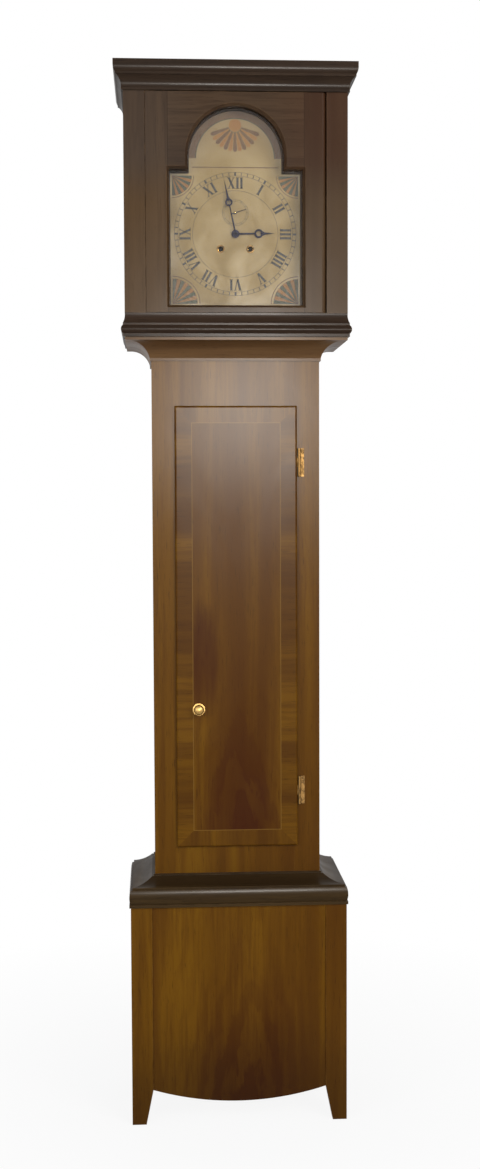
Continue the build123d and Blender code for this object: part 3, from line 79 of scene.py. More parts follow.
# Doors
BANDING = 0.036
STRING_WIDTH = 0.0016
STILE_WIDTH = 0.046


def paint(red, green, blue):
    """A colour written as it looks on a screen, 0 to 255, in Blender's linear values."""
    def linear(value):
        value /= 255
        return value / 12.92 if value <= 0.04045 else ((value + 0.055) / 1.055) ** 2.4
    return (linear(red), linear(green), linear(blue), 1.0)


class Finish:
    """A material and its node tree, with short calls for the nodes that the finishes share."""

    def __init__(self, name, roughness=0.5, metallic=0.0, specular=0.5):
        self.material = bpy.data.materials.new(name)
        self.material.use_nodes = True
        self.tree = self.material.node_tree
        self.shader = self.tree.nodes["Principled BSDF"]
        self.shader.inputs["Roughness"].default_value = roughness
        self.shader.inputs["Metallic"].default_value = metallic
        self.shader.inputs["Specular IOR Level"].default_value = specular

    def node(self, kind, **settings):
        made = self.tree.nodes.new("ShaderNode" + kind)
        for name, value in settings.items():
            setattr(made, name, value)
        return made

    def join(self, source, socket):
        self.tree.links.new(source, socket)

    def feed(self, socket, value):
        """Puts a number, a colour or another node's output into a socket."""
        if isinstance(value, bpy.types.NodeSocket):
            self.join(value, socket)
        else:
            socket.default_value = value

    def place(self, stretch=(1, 1, 1), turn=(0, 0, 0)):
        """The point in the object's own space, scaled along each axis."""
        coordinates = self.node("TexCoord")
        mapping = self.node("Mapping")
        mapping.inputs["Scale"].default_value = stretch
        mapping.inputs["Rotation"].default_value = turn
        self.join(coordinates.outputs["Object"], mapping.inputs["Vector"])
        return mapping.outputs["Vector"]

    def axes(self):
        """x, y and z of the point as three numbers."""
        split = self.node("SeparateXYZ")
        self.join(self.place(), split.inputs[0])
        return split.outputs[0], split.outputs[1], split.outputs[2]

    def noise(self, vector, scale, detail=4, roughness=0.55, distortion=0.0):
        made = self.node("TexNoise")
        self.join(vector, made.inputs["Vector"])
        made.inputs["Scale"].default_value = scale
        made.inputs["Detail"].default_value = detail
        made.inputs["Roughness"].default_value = roughness
        made.inputs["Distortion"].default_value = distortion
        return made.outputs["Fac"]

    def math(self, operation, first, second=0.0):
        made = self.node("Math", operation=operation)
        for socket, value in zip(made.inputs, (first, second)):
            self.feed(socket, value)
        return made.outputs[0]

    def span(self, value, low, high, to_low=0.0, to_high=1.0, smooth=True):
        """A number between two limits, turned into another range."""
        made = self.node("MapRange", interpolation_type="SMOOTHSTEP" if smooth else "LINEAR")
        for socket, number in zip(made.inputs, (value, low, high, to_low, to_high)):
            self.feed(socket, number)
        return made.outputs[0]

    def mix(self, share, first, second):
        made = self.node("Mix", data_type="RGBA")
        self.feed(made.inputs["Factor"], share)
        self.feed(made.inputs[6], first)
        self.feed(made.inputs[7], second)
        return made.outputs[2]

    def color(self, value):
        self.feed(self.shader.inputs["Base Color"], value)

    def rough(self, value):
        self.feed(self.shader.inputs["Roughness"], value)

    def relief(self, height, distance, strength=1.0, edge=0.0):
        """Bumps from a height, over edges rounded by a small radius."""
        bump = self.node("Bump")
        bump.inputs["Distance"].default_value = distance
        bump.inputs["Strength"].default_value = strength
        self.feed(bump.inputs["Height"], height)
        if edge:
            self.join(self.rounded(edge), bump.inputs["Normal"])
        self.join(bump.outputs["Normal"], self.shader.inputs["Normal"])

    def rounded(self, radius):
        bevel = self.node("Bevel", samples=4)
        bevel.inputs["Radius"].default_value = radius
        return bevel.outputs["Normal"]

    def edge_wear(self, radius):
        """1 on edges and corners, 0 on flat ground."""
        geometry = self.node("NewGeometry")
        product = self.node("VectorMath", operation="DOT_PRODUCT")
        self.join(self.rounded(radius), product.inputs[0])
        self.join(geometry.outputs["Normal"], product.inputs[1])
        return self.span(product.outputs["Value"], 0.995, 0.9, 0.0, 1.0)


# Wood
WOOD_SHEEN = 0.02
ALONG = {"x": (0.045, 1, 1), "y": (1, 0.045, 1), "z": (1, 1, 0.045)}


def grain(finish, along, seed=0.0):
    """Broad bands, growth lines and fine pores of a board whose grain runs along one axis."""
    stretch = ALONG[along]
    vector = finish.place(stretch)
    shift = finish.node("VectorMath", operation="ADD")
    shift.inputs[1].default_value = (seed, seed * 1.7, seed * 0.6)
    finish.join(vector, shift.inputs[0])
    vector = shift.outputs[0]
    bands = finish.noise(vector, 14, 3, 0.5, 0.6)
    lines = finish.noise(vector, 95, 5, 0.62, 0.9)
    pores = finish.noise(vector, 620, 3, 0.6)
    return bands, lines, pores


def blend_grains(finish, share, first, second):
    """Two sets of grain values, shared out by a mask."""
    mixed = []
    for one, two in zip(first, second):
        made = finish.node("Mix", data_type="FLOAT")
        finish.feed(made.inputs["Factor"], share)
        finish.join(one, made.inputs[2])
        finish.join(two, made.inputs[3])
        mixed.append(made.outputs[0])
    return mixed


def colour_wood(finish, grains, pale, dark, pore, contrast=1.0):
    """The colour of a board from its grain values."""
    bands, lines, pores = grains
    tone = finish.span(bands, 0.32, 0.68)
    base = finish.mix(tone, pale, dark)
    streak = finish.span(lines, 0.42, 0.66, 0.0, 0.55 * contrast)
    base = finish.mix(streak, base, dark)
    speck = finish.span(pores, 0.58, 0.74, 0.0, 0.7)
    return finish.mix(speck, base, pore)


def polish(finish, grains, edge=0.0009, low=0.28, high=0.46, gloss=0.06):
    """Surface of old polish: grain that telegraphs through it, uneven sheen and softened edges."""
    lines, pores = grains[1:]
    height = finish.math("ADD", finish.math("MULTIPLY", lines, 0.5), finish.math("MULTIPLY", pores, 0.5))
    finish.relief(height, 0.00025, 0.35, edge)
    smears = finish.noise(finish.place((1, 1, 0.5)), 7, 3, 0.6, 0.8)
    finish.rough(finish.span(smears, 0.3, 0.7, low, high))
    finish.shader.inputs["Coat Weight"].default_value = gloss
    finish.shader.inputs["Coat Roughness"].default_value = 0.2
    finish.shader.inputs["Coat IOR"].default_value = 1.45


def wear(finish, base, amount, tint, radius=0.0022):
    """Rubbed edges show a paler wood."""
    rubbed = finish.edge_wear(radius)
    patchy = finish.noise(finish.place(), 26, 3, 0.6)
    share = finish.math("MULTIPLY", rubbed, finish.span(patchy, 0.38, 0.62, 0.0, amount))
    return finish.mix(share, base, tint)


def darker_below_height(finish, base, low, high, amount, tint):
    """Darker towards the bottom: a tint that grows below a height, with a cloudy edge, such as near the
    floor.
    """
    x, y, z = finish.axes()
    cloud = finish.noise(finish.place(), 9, 4, 0.6)
    edge = finish.math("ADD", z, finish.math("MULTIPLY", cloud, 0.12))
    return finish.mix(finish.span(edge, low, high, amount, 0.0), base, tint)


CASE_PALE = paint(111, 74, 12)
CASE_DARK = paint(84, 50, 8)
CASE_PORE = paint(46, 26, 5)
HOOD_PALE = paint(72, 54, 38)
HOOD_DARK = paint(48, 33, 22)
HOOD_PORE = paint(24, 16, 10)
RED_FLAME = paint(62, 26, 6)
STRING_PALE = paint(134, 100, 44)


def case_wood(name, along, seed=0.0):
    """Amber-brown polished wood of the trunk and base."""
    finish = Finish(name, specular=WOOD_SHEEN)
    grains = grain(finish, along, seed)
    base = colour_wood(finish, grains, CASE_PALE, CASE_DARK, CASE_PORE)
    # Darker towards the floor, below about 0.34 m.
    base = darker_below_height(finish, base, 0.06, 0.34, 0.55, paint(48, 28, 10))
    finish.color(wear(finish, base, 0.5, paint(150, 108, 48)))
    polish(finish, grains)
    return finish.material


def mitre_share(finish, half_width, front):
    """0 on the front length of a moulding and 1 on its side returns, parted at the mitre."""
    x, y, z = finish.axes()
    out_side = finish.math("SUBTRACT", finish.math("ABSOLUTE", x), half_width)
    out_front = finish.math("SUBTRACT", front, y)
    past = finish.math("SUBTRACT", out_side, out_front)
    return finish.span(past, -0.0002, 0.0002)


def moulding_wood(name, half_width, front, pale, dark, pore, tint):
    """Wood whose grain follows a moulding round its two front corners, with fine dark mitre lines."""
    finish = Finish(name, specular=WOOD_SHEEN)
    share = mitre_share(finish, half_width, front)
    grains = blend_grains(finish, share, grain(finish, "x", 3.0), grain(finish, "y", 5.0))
    base = colour_wood(finish, grains, pale, dark, pore)
    line = finish.math("MULTIPLY", share, finish.math("SUBTRACT", 1.0, share))
    base = finish.mix(finish.span(line, 0.02, 0.2, 0.0, 0.8), base, pore)
    finish.color(wear(finish, base, 0.45, tint))
    polish(finish, grains)
    return finish.material


def flame(finish, centre_x, low, high, width_low, width_high):
    """Feathered figure of a crotch-cut veneer: arched lines on a dark reddish plume that narrows upwards."""
    x, y, z = finish.axes()
    rise = finish.span(z, low, high, 0.0, 1.0, smooth=False)
    warp = finish.noise(finish.place((1, 1, 0.5)), 6, 3, 0.6, 0.4)
    sway = finish.math("MULTIPLY", finish.math("SUBTRACT", warp, 0.5), 0.09)
    aside = finish.math("ADD", finish.math("SUBTRACT", x, centre_x), sway)
    half = finish.span(rise, 0.0, 1.0, width_low, width_high, smooth=False)
    off = finish.math("DIVIDE", finish.math("ABSOLUTE", aside), half)
    body = finish.span(off, 0.25, 1.25, 1.0, 0.0)
    plume = finish.math("MULTIPLY", body, finish.span(rise, 0.0, 1.0, 1.0, 0.0))
    droop = finish.math("MULTIPLY", finish.math("POWER", finish.math("ABSOLUTE", aside), 1.4), 9.0)
    arches = finish.math("ADD", finish.math("MULTIPLY", z, 34.0), finish.math("MULTIPLY", droop, 34.0))
    ripple = finish.noise(finish.place((1, 1, 0.3)), 30, 4, 0.6, 0.5)
    arches = finish.math("ADD", arches, finish.math("MULTIPLY", ripple, 9.0))
    lines = finish.math("MULTIPLY", finish.math("ADD", finish.math("SINE", arches), 1.0), 0.5)
    return plume, lines


def framed(finish, low, high, margin, line):
    """Masks for a rectangle on the front: inside its banding, and the stringing line between the two."""
    x, y, z = finish.axes()
    middle_x, middle_z = (low.x + high.x) / 2, (low.z + high.z) / 2
    half_x, half_z = (high.x - low.x) / 2 - margin, (high.z - low.z) / 2 - margin
    beyond_x = finish.math("SUBTRACT", finish.math("ABSOLUTE", finish.math("SUBTRACT", x, middle_x)), half_x)
    beyond_z = finish.math("SUBTRACT", finish.math("ABSOLUTE", finish.math("SUBTRACT", z, middle_z)), half_z)
    beyond = finish.math("MAXIMUM", beyond_x, beyond_z)
    inside = finish.span(beyond, -0.0003, 0.0003, 1.0, 0.0)
    string = finish.span(finish.math("ABSOLUTE", beyond), line * 0.4, line * 0.6, 1.0, 0.0)
    upright = finish.span(finish.math("SUBTRACT", beyond_x, beyond_z), -0.0003, 0.0003)
    return inside, string, upright


def blot(finish, centre, radii):
    """A soft-edged oval on the front, broken up along the grain. centre and radii are in x and z."""
    x, y, z = finish.axes()
    across = finish.math("DIVIDE", finish.math("SUBTRACT", x, centre[0]), radii[0])
    along = finish.math("DIVIDE", finish.math("SUBTRACT", z, centre[1]), radii[1])
    across_squared = finish.math("MULTIPLY", across, across)
    squares = finish.math("ADD", across_squared, finish.math("MULTIPLY", along, along))
    streaks = finish.noise(finish.place((1, 1, 0.2)), 40, 4, 0.6, 0.5)
    edge = finish.math("ADD", squares, finish.math("MULTIPLY", streaks, 0.9))
    return finish.span(edge, 0.5, 1.5, 0.75, 0.0)


def figured_veneer(
    name, low, high, margin, plume_x, plume_low, plume_high, widths, patch=None, darker_near_floor=False
):
    """A figured panel inside a border: crossbanding on a door, plain margins on the base."""
    finish = Finish(name, specular=WOOD_SHEEN)
    inside, string, upright = framed(finish, low, high, margin, STRING_WIDTH)
    panel = grain(finish, "z", 8.0)
    border = blend_grains(finish, upright, grain(finish, "z", 2.0), grain(finish, "x", 2.0))
    plume, lines = flame(finish, plume_x, plume_low, plume_high, *widths)
    field = colour_wood(finish, panel, CASE_PALE, CASE_DARK, CASE_PORE)
    feathers = finish.math("MULTIPLY", plume, finish.span(lines, 0.15, 0.85, 0.62, 1.0))
    field = finish.mix(feathers, field, RED_FLAME)
    if patch:
        field = finish.mix(blot(finish, *patch), field, RED_FLAME)
    field = finish.mix(finish.math("MULTIPLY", finish.span(lines, 0.6, 0.95), 0.16), field, CASE_DARK)
    band = colour_wood(finish, border, paint(106, 70, 12), paint(78, 46, 8), CASE_PORE)
    base = finish.mix(inside, band, field)
    base = finish.mix(finish.math("MULTIPLY", string, 0.55), base, STRING_PALE)
    # Darker towards the floor, below about 0.36 m.
    if darker_near_floor:
        base = darker_below_height(finish, base, 0.06, 0.36, 0.6, paint(46, 26, 10))
    finish.color(wear(finish, base, 0.4, paint(146, 104, 46)))
    polish(finish, panel, low=0.26, high=0.42)
    return finish.material


def hood_tones_and_painted_light(finish, base):
    """Side and height tones, partly the wood's own colour and partly painted light: amber low on the left, a
    grey painted reflection high on the left, red-brown painted shade high on the right, brown below it.
    """
    x, y, z = finish.axes()
    left = finish.span(x, -0.05, -0.2)
    right = finish.span(x, 0.04, 0.2)
    high = finish.span(z, 1.93, 2.05)
    low = finish.math("SUBTRACT", 1.0, high)
    # Painted light: the grey high on the left is a painted reflection, and the red-brown high on the right is
    # painted shade.
    tones = [
        (left, low, 0.35, paint(98, 70, 32)),
        (left, high, 0.22, paint(92, 80, 70)),
        (right, high, 0.32, paint(84, 50, 28)),
        (right, low, 0.5, paint(92, 70, 46)),
    ]
    for side, level, amount, tone in tones:
        share = finish.math("MULTIPLY", finish.math("MULTIPLY", side, level), amount)
        base = finish.mix(share, base, tone)
    return base


def hood_wood(name, along, seed=0.0):
    """Browner wood of the hood, in tones that vary from place to place, with a painted reflection and painted
    shade high up.
    """
    finish = Finish(name, specular=WOOD_SHEEN)
    grains = grain(finish, along, seed)
    # The hood's tones by side and height, with a painted reflection and painted shade.
    base = hood_tones_and_painted_light(finish, colour_wood(finish, grains, HOOD_PALE, HOOD_DARK, HOOD_PORE))
    finish.color(wear(finish, base, 0.5, paint(128, 100, 72)))
    polish(finish, grains)
    return finish.material


def hood_door_wood():
    """The hood door: rails run across between stiles, with the joints drawn as fine lines."""
    finish = Finish("hood_door_wood", specular=WOOD_SHEEN)
    x, y, z = finish.axes()
    stile_edge = HOOD_DOOR_HIGH.x - STILE_WIDTH
    past = finish.math("SUBTRACT", finish.math("ABSOLUTE", x), stile_edge)
    upright = finish.span(past, -0.0002, 0.0002)
    grains = blend_grains(finish, upright, grain(finish, "x", 11.0), grain(finish, "z", 12.0))
    # The hood's tones by side and height, with a painted reflection and painted shade, as on the rest of the
    # hood.
    base = hood_tones_and_painted_light(finish, colour_wood(finish, grains, HOOD_PALE, HOOD_DARK, HOOD_PORE))
    joint = finish.span(finish.math("ABSOLUTE", past), 0.0002, 0.0006, 0.8, 0.0)
    base = finish.mix(joint, base, HOOD_PORE)
    finish.color(wear(finish, base, 0.5, paint(124, 94, 66)))
    polish(finish, grains)
    return finish.material


def bare_wood(name, along):
    """Unfinished softwood of the back and inside, dulled by age."""
    finish = Finish(name, roughness=0.8, specular=0.2)
    grains = grain(finish, along, 6.0)
    base = colour_wood(finish, grains, paint(138, 106, 66), paint(108, 76, 42), paint(70, 46, 24), 1.3)
    stain = finish.noise(finish.place(), 5, 4, 0.6, 0.5)
    finish.color(finish.mix(finish.span(stain, 0.45, 0.7, 0.0, 0.5), base, paint(74, 52, 32)))
    finish.relief(grains[1], 0.0004, 0.5, 0.0006)
    return finish.material


# Metals, glass, paint and gut

def metal(name, bright, dull, low, high, brushed=(1, 1, 1), tarnish=0.5, spots=40, steel_before=None):
    """A metal with working marks and patches of tarnish, and dark steel where y is below steel_before."""
    finish = Finish(name, metallic=1.0)
    marks = finish.noise(finish.place(brushed), 900, 3, 0.6)
    patches = finish.noise(finish.place(), spots, 4, 0.6, 0.4)
    base = finish.mix(finish.span(patches, 0.42, 0.72, 0.0, tarnish), bright, dull)
    base = finish.mix(finish.math("MULTIPLY", marks, 0.18), base, dull)
    rough = finish.span(patches, 0.3, 0.75, low, high)
    if steel_before is not None:
        x, y, z = finish.axes()
        before = finish.span(y, steel_before - 0.0005, steel_before, 1.0, 0.0)
        base = finish.mix(before, base, paint(44, 42, 42))
        rough = finish.math("MAXIMUM", rough, finish.math("MULTIPLY", before, 0.75))
    finish.color(base)
    finish.rough(rough)
    finish.relief(marks, 0.00004, 0.4, 0.0003)
    return finish.material


def cast_iron():
    finish = Finish("cast_iron", metallic=0.0, specular=0.4)
    lumps = finish.noise(finish.place(), 260, 5, 0.65)
    rust = finish.noise(finish.place(), 22, 5, 0.6, 0.3)
    base = finish.mix(finish.math("MULTIPLY", lumps, 0.5), paint(44, 43, 44), paint(28, 27, 28))
    finish.color(finish.mix(finish.span(rust, 0.55, 0.72, 0.0, 0.5), base, paint(74, 46, 30)))
    finish.rough(finish.span(rust, 0.3, 0.8, 0.5, 0.85))
    finish.relief(lumps, 0.0006, 0.5, 0.0008)
    return finish.material


def blued_steel():
    finish = Finish("blued_steel", metallic=1.0)
    tone = finish.noise(finish.place(), 60, 3, 0.5)
    finish.color(finish.mix(tone, paint(30, 30, 38), paint(18, 16, 18)))
    finish.rough(finish.span(tone, 0.3, 0.7, 0.3, 0.5))
    finish.relief(finish.noise(finish.place(), 1400, 2, 0.5), 0.00002, 0.3, 0.0002)
    return finish.material


def dial_paint():
    """Cream paint on iron: clouded by age, finely cracked and darker towards the edges."""
    finish = Finish("dial_paint", specular=0.35)
    clouds = finish.noise(finish.place(), 11, 5, 0.6, 0.5)
    base = finish.mix(finish.span(clouds, 0.3, 0.7), paint(163, 135, 70), paint(144, 116, 56))
    cells = finish.node("TexVoronoi", feature="DISTANCE_TO_EDGE")
    finish.join(finish.place(), cells.inputs["Vector"])
    cells.inputs["Scale"].default_value = 95
    crack = finish.span(cells.outputs["Distance"], 0.0, 0.02, 1.0, 0.0)
    broken = finish.noise(finish.place(), 16, 3, 0.6)
    crack = finish.math("MULTIPLY", crack, finish.span(broken, 0.5, 0.66, 0.0, 0.45))
    base = finish.mix(crack, base, paint(120, 100, 70))
    from_centre = finish.node("VectorMath", operation="DISTANCE")
    finish.join(finish.place(), from_centre.inputs[0])
    from_centre.inputs[1].default_value = (0, DIAL_FRONT, DIAL_Z)
    base = finish.mix(
        finish.span(from_centre.outputs["Value"], 0.12, 0.24, 0.0, 0.5), base, paint(132, 106, 68)
    )
    finish.color(base)
    finish.rough(finish.span(clouds, 0.3, 0.7, 0.38, 0.55))
    finish.relief(finish.math("MULTIPLY", crack, -1.0), 0.0001, 0.5)
    return finish.material


def ink(name, color, worn):
    """Dial paint for figures and ornament, slightly worn through."""
    finish = Finish(name, specular=0.3)
    rub = finish.noise(finish.place(), 180, 4, 0.65)
    cloud = finish.noise(finish.place(), 24, 3, 0.6)
    base = finish.mix(finish.span(cloud, 0.35, 0.7, 0.0, 0.35), color, worn)
    finish.color(finish.mix(finish.span(rub, 0.6, 0.7, 0.0, 0.6), base, worn))
    finish.rough(finish.span(rub, 0.3, 0.7, 0.42, 0.6))
    return finish.material


HEAD_ON_MIRROR = 0.013
GLANCING_MIRROR = 0.34


def window_glass():
    """Thin clear glass: nearly all light passes, and a little of the room shows in it."""
    finish = Finish("window_glass", roughness=0.03, specular=0.5)
    ripple = finish.noise(finish.place(), 9, 2, 0.5)
    finish.relief(ripple, 0.0008, 0.2)
    finish.color(finish.mix(ripple, paint(30, 36, 32), paint(40, 44, 40)))
    weight = finish.node("LayerWeight")
    weight.inputs["Blend"].default_value = 0.5
    glancing = finish.math("POWER", weight.outputs["Facing"], 5.0)
    mirrored = finish.math("ADD", finish.math("MULTIPLY", glancing, GLANCING_MIRROR), HEAD_ON_MIRROR)
    clear = finish.node("BsdfTransparent")
    mirror = finish.node("BsdfGlossy")
    mirror.inputs["Roughness"].default_value = 0.05
    inner = finish.node("MixShader")
    finish.join(mirrored, inner.inputs[0])
    finish.join(clear.outputs[0], inner.inputs[1])
    finish.join(mirror.outputs[0], inner.inputs[2])
    outer = finish.node("MixShader")
    outer.inputs[0].default_value = 0.06
    finish.join(inner.outputs[0], outer.inputs[1])
    finish.join(finish.shader.outputs[0], outer.inputs[2])
    finish.join(outer.outputs[0], finish.tree.nodes["Material Output"].inputs["Surface"])
    return finish.material


def gut_line():
    finish = Finish("gut_line", roughness=0.55, specular=0.3)
    twist = finish.noise(finish.place((1, 1, 0.25), (0.3, 0.2, 0)), 1800, 2, 0.5)
    finish.color(finish.mix(twist, paint(196, 174, 122), paint(150, 124, 78)))
    finish.relief(twist, 0.0001, 0.6)
    return finish.material


CASE_UPRIGHT = case_wood("case_wood_upright", "z")
CASE_SIDE = case_wood("case_wood_side", "z", 4.0)
BARE_UPRIGHT = bare_wood("bare_wood_upright", "z")
BARE_ACROSS = bare_wood("bare_wood_across", "x")
HOOD_UPRIGHT = hood_wood("hood_wood_upright", "z", 1.0)
HOOD_SIDE = hood_wood("hood_wood_side", "z", 7.0)
HOOD_ACROSS = hood_wood("hood_wood_across", "x", 9.0)
CLEAN_BRASS = (paint(206, 166, 92), paint(128, 92, 44), 0.22, 0.42)
BRASS = metal("brass", *CLEAN_BRASS)
ARBOR_BRASS = metal("arbor_brass", *CLEAN_BRASS, steel_before=DIAL_FRONT)
BARREL_BRASS = metal("barrel_brass", *CLEAN_BRASS, steel_before=PLATE_FRONT)
OLD_BRASS = metal("old_brass", paint(190, 156, 96), paint(104, 78, 42), 0.28, 0.5, tarnish=0.7, spots=70)
DARK_BRASS = metal("dark_brass", paint(112, 86, 50), paint(58, 44, 28), 0.45, 0.7, tarnish=0.8, spots=110)
STEEL = metal("steel", paint(168, 168, 172), paint(104, 100, 98), 0.25, 0.45, brushed=(1, 0.05, 1))
BLUED = blued_steel()
IRON = cast_iron()
DIAL_PAINT = dial_paint()
BLACK_INK = ink("black_ink", paint(34, 30, 26), paint(92, 78, 56))
BROWN_INK = ink("brown_ink", paint(96, 64, 32), paint(132, 102, 58))
OCHRE_INK = ink("ochre_ink", paint(148, 98, 34), paint(160, 124, 64))
GREEN_INK = ink("green_ink", paint(62, 66, 40), paint(112, 100, 66))
GLASS = window_glass()
GUT = gut_line()
THROAT = moulding_wood(
    "throat_wood", TRUNK_HIGH.x, TRUNK_FRONT, paint(128, 96, 62), paint(92, 66, 42), HOOD_PORE,
    paint(150, 116, 78)
)
CORNICE = moulding_wood(
    "cornice_wood", HOOD_HIGH.x, HOOD_FRAME_LOW.y, paint(54, 41, 31), paint(38, 28, 21), paint(18, 13, 10),
    paint(104, 82, 62)
)
HOOD_RAIL = moulding_wood(
    "hood_rail_wood", TRUNK_HIGH.x + 0.001, TRUNK_FRONT - 0.002, paint(54, 40, 30), paint(38, 27, 20),
    paint(18, 13, 9), paint(112, 88, 64)
)
WAIST = moulding_wood(
    "waist_black", TRUNK_HIGH.x, TRUNK_FRONT, paint(70, 53, 30), paint(48, 35, 20), paint(20, 15, 8),
    paint(100, 76, 48)
)
DOOR_VENEER = figured_veneer(
    "door_veneer", DOOR_LOW, DOOR_HIGH, BANDING, 0.012, DOOR_LOW.z + 0.02, DOOR_LOW.z + 0.56,
    (0.105, 0.022), patch=((-0.074, 0.99), (0.042, 0.15))
)
PANEL_VENEER = figured_veneer(
    "panel_veneer", PANEL_LOW, PANEL_HIGH, -0.02, 0.025, PANEL_LOW.z - 0.02, PANEL_HIGH.z + 0.02,
    (0.16, 0.09), darker_near_floor=True
)

FINISHES = {
    CASE_UPRIGHT: ["trunk_front_frame", "base_corner_posts"],
    CASE_SIDE: ["trunk_sides", "base_sides"],
    BARE_UPRIGHT: ["backboard"],
    BARE_ACROSS: ["waist_blocks", "base_bottom_board", "seatboard"],
    DOOR_VENEER: ["trunk_door"],
    PANEL_VENEER: ["base_front_panel"],
    THROAT: ["throat_moulding"],
    WAIST: ["waist_moulding"],
    CORNICE: ["hood_cornice"],
    HOOD_RAIL: ["hood_base_rails"],
    HOOD_UPRIGHT: ["hood_front_frame"],
    HOOD_SIDE: ["hood_sides"],
    HOOD_ACROSS: ["hood_top_board", "hood_mask"],
    hood_door_wood(): ["hood_door_frame"],
    GLASS: ["hood_door_glass"],
    DIAL_PAINT: ["dial_plate"],
    BLUED: ["hour_hand", "minute_hand", "seconds_hand"],
    OLD_BRASS: ["trunk_door_catch"],
    DARK_BRASS: ["trunk_hinge_plates", "trunk_door_hinge_leaves"],
    IRON: ["going_weight", "strike_weight"],
    ARBOR_BRASS: ["centre_wheel", "cannon_wheel", "hour_wheel"],
    BARREL_BRASS: ["going_barrel", "strike_barrel"],
    STEEL: [
        "hood_door_pivots", "seatboard_bolts", "bell_stand", "pallet_arbor", "pendulum_rod", "bell_hammer",
    ],
    GUT: ["going_line", "strike_line"],
}
BRASS_NODES = [
    "movement_front_plate", "movement_back_plate", "plate_pillars", "back_cock", "bell", "going_great_wheel",
    "third_wheel", "escape_wheel", "pendulum_bob", "minute_wheel", "strike_great_wheel", "pin_wheel",
    "gathering_wheel", "warning_wheel", "strike_fly", "dial_feet",
]
FINISHES[BRASS] = BRASS_NODES


def set_finish(node, material):
    """Gives all faces of a node one finish."""
    mesh = nodes[node].data
    mesh.materials.clear()
    mesh.materials.append(material)
    mesh.polygons.foreach_set("material_index", [0] * len(mesh.polygons))


for material, names in FINISHES.items():
    for node in names:
        set_finish(node, material)


# Flat painting on the dial

def on_dial(x, z, layer):
    """A point on the dial's face, in front of it by so many coats of paint."""
    return Vector((x, DIAL_FRONT - layer * PAINT_THICKNESS, z))


def painted(name, outlines, layer, material):
    """Closed outlines, each a list of (x, z), painted on the dial as thin solids."""
    mesh = bpy.data.meshes.new(name)
    build = bmesh.new()
    for outline in outlines:
        corners = [build.verts.new(on_dial(x, z, layer)) for x, z in outline]
        face = build.faces.new(corners)
        moved = bmesh.ops.extrude_face_region(build, geom=[face])["geom"]
        for vertex in [item for item in moved if isinstance(item, bmesh.types.BMVert)]:
            vertex.co.y += layer * PAINT_THICKNESS
    bmesh.ops.recalc_face_normals(build, faces=build.faces)
    build.to_mesh(mesh)
    build.free()
    mesh.materials.append(material)
    made = bpy.data.objects.new(name, mesh)
    bpy.context.scene.collection.objects.link(made)
    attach(made, "case")
    return made


def polar(centre, radius, bearing):
    """A point at a radius and a clockwise bearing, in degrees, from straight up."""
    return centre[0] + radius * sin(radians(bearing)), centre[1] + radius * cos(radians(bearing))


def ring(centre, inner, outer, start=0.0, end=360.0, steps=180):
    """Quads of a ring or of part of one."""
    outlines = []
    for step in range(steps):
        first = start + (end - start) * step / steps
        second = start + (end - start) * (step + 1) / steps
        outlines.append(
            [polar(centre, inner, first), polar(centre, outer, first), polar(centre, outer, second),
             polar(centre, inner, second)]
        )
    return outlines


def petal(centre, bearing, half_angle, inner, outer, tip_steps=6):
    """A wedge between two radii, with a rounded tip."""
    points = [polar(centre, inner, bearing + half_angle), polar(centre, inner, bearing - half_angle)]
    swell = outer * sin(radians(half_angle))
    for step in range(tip_steps + 1):
        share = step / tip_steps
        angle = bearing - half_angle + 2 * half_angle * share
        points.append(polar(centre, outer + swell * sin(pi * share), angle))
    return points


STROKE_THICK = 0.20
STROKE_THIN = 0.07
SERIF = 0.045


def slanted(x_top, x_foot, width):
    """A stroke from the top of a letter to its foot, in letter heights."""
    half = width / 2
    return [(x_top - half, 1.0), (x_top + half, 1.0), (x_foot + half, 0.0), (x_foot - half, 0.0)]


def bar(x, z, half_width):
    """The corners of a serif."""
    left, right = x - half_width, x + half_width
    low, high = z - SERIF / 2, z + SERIF / 2
    return [(left, low), (left, high), (right, high), (right, low)]


def letter(kind):
    """Strokes of a Roman numeral's letter and its width."""
    if kind == "I":
        return [slanted(0.17, 0.17, STROKE_THICK), bar(0.17, 0.98, 0.16), bar(0.17, 0.02, 0.16)], 0.36
    if kind == "V":
        strokes = [slanted(0.16, 0.38, STROKE_THICK), slanted(0.62, 0.41, STROKE_THIN)]
        return strokes + [bar(0.16, 0.98, 0.17), bar(0.62, 0.98, 0.13)], 0.80
    strokes = [slanted(0.16, 0.62, STROKE_THICK), slanted(0.62, 0.16, STROKE_THIN)]
    serifs = [bar(0.16, 0.98, 0.17), bar(0.62, 0.98, 0.13), bar(0.16, 0.02, 0.13), bar(0.62, 0.02, 0.17)]
    return strokes + serifs, 0.80


def numeral(text, hour):
    """A numeral on the chapter ring, its foot towards the centre."""
    strokes, pen = [], 0.0
    for kind in text:
        shapes, width = letter(kind)
        strokes += [[(x + pen, z) for x, z in shape] for shape in shapes]
        pen += width
    outlines = []
    for shape in strokes:
        outline = []
        for x, z in shape:
            across = (x - pen / 2) * NUMERAL_HEIGHT
            out = NUMERAL_OUTER - NUMERAL_HEIGHT + z * NUMERAL_HEIGHT
            bearing = radians(30 * hour)
            dial_x = across * cos(bearing) + out * sin(bearing)
            dial_z = DIAL_Z - across * sin(bearing) + out * cos(bearing)
            outline.append((dial_x, dial_z))
        outlines.append(outline)
    return outlines


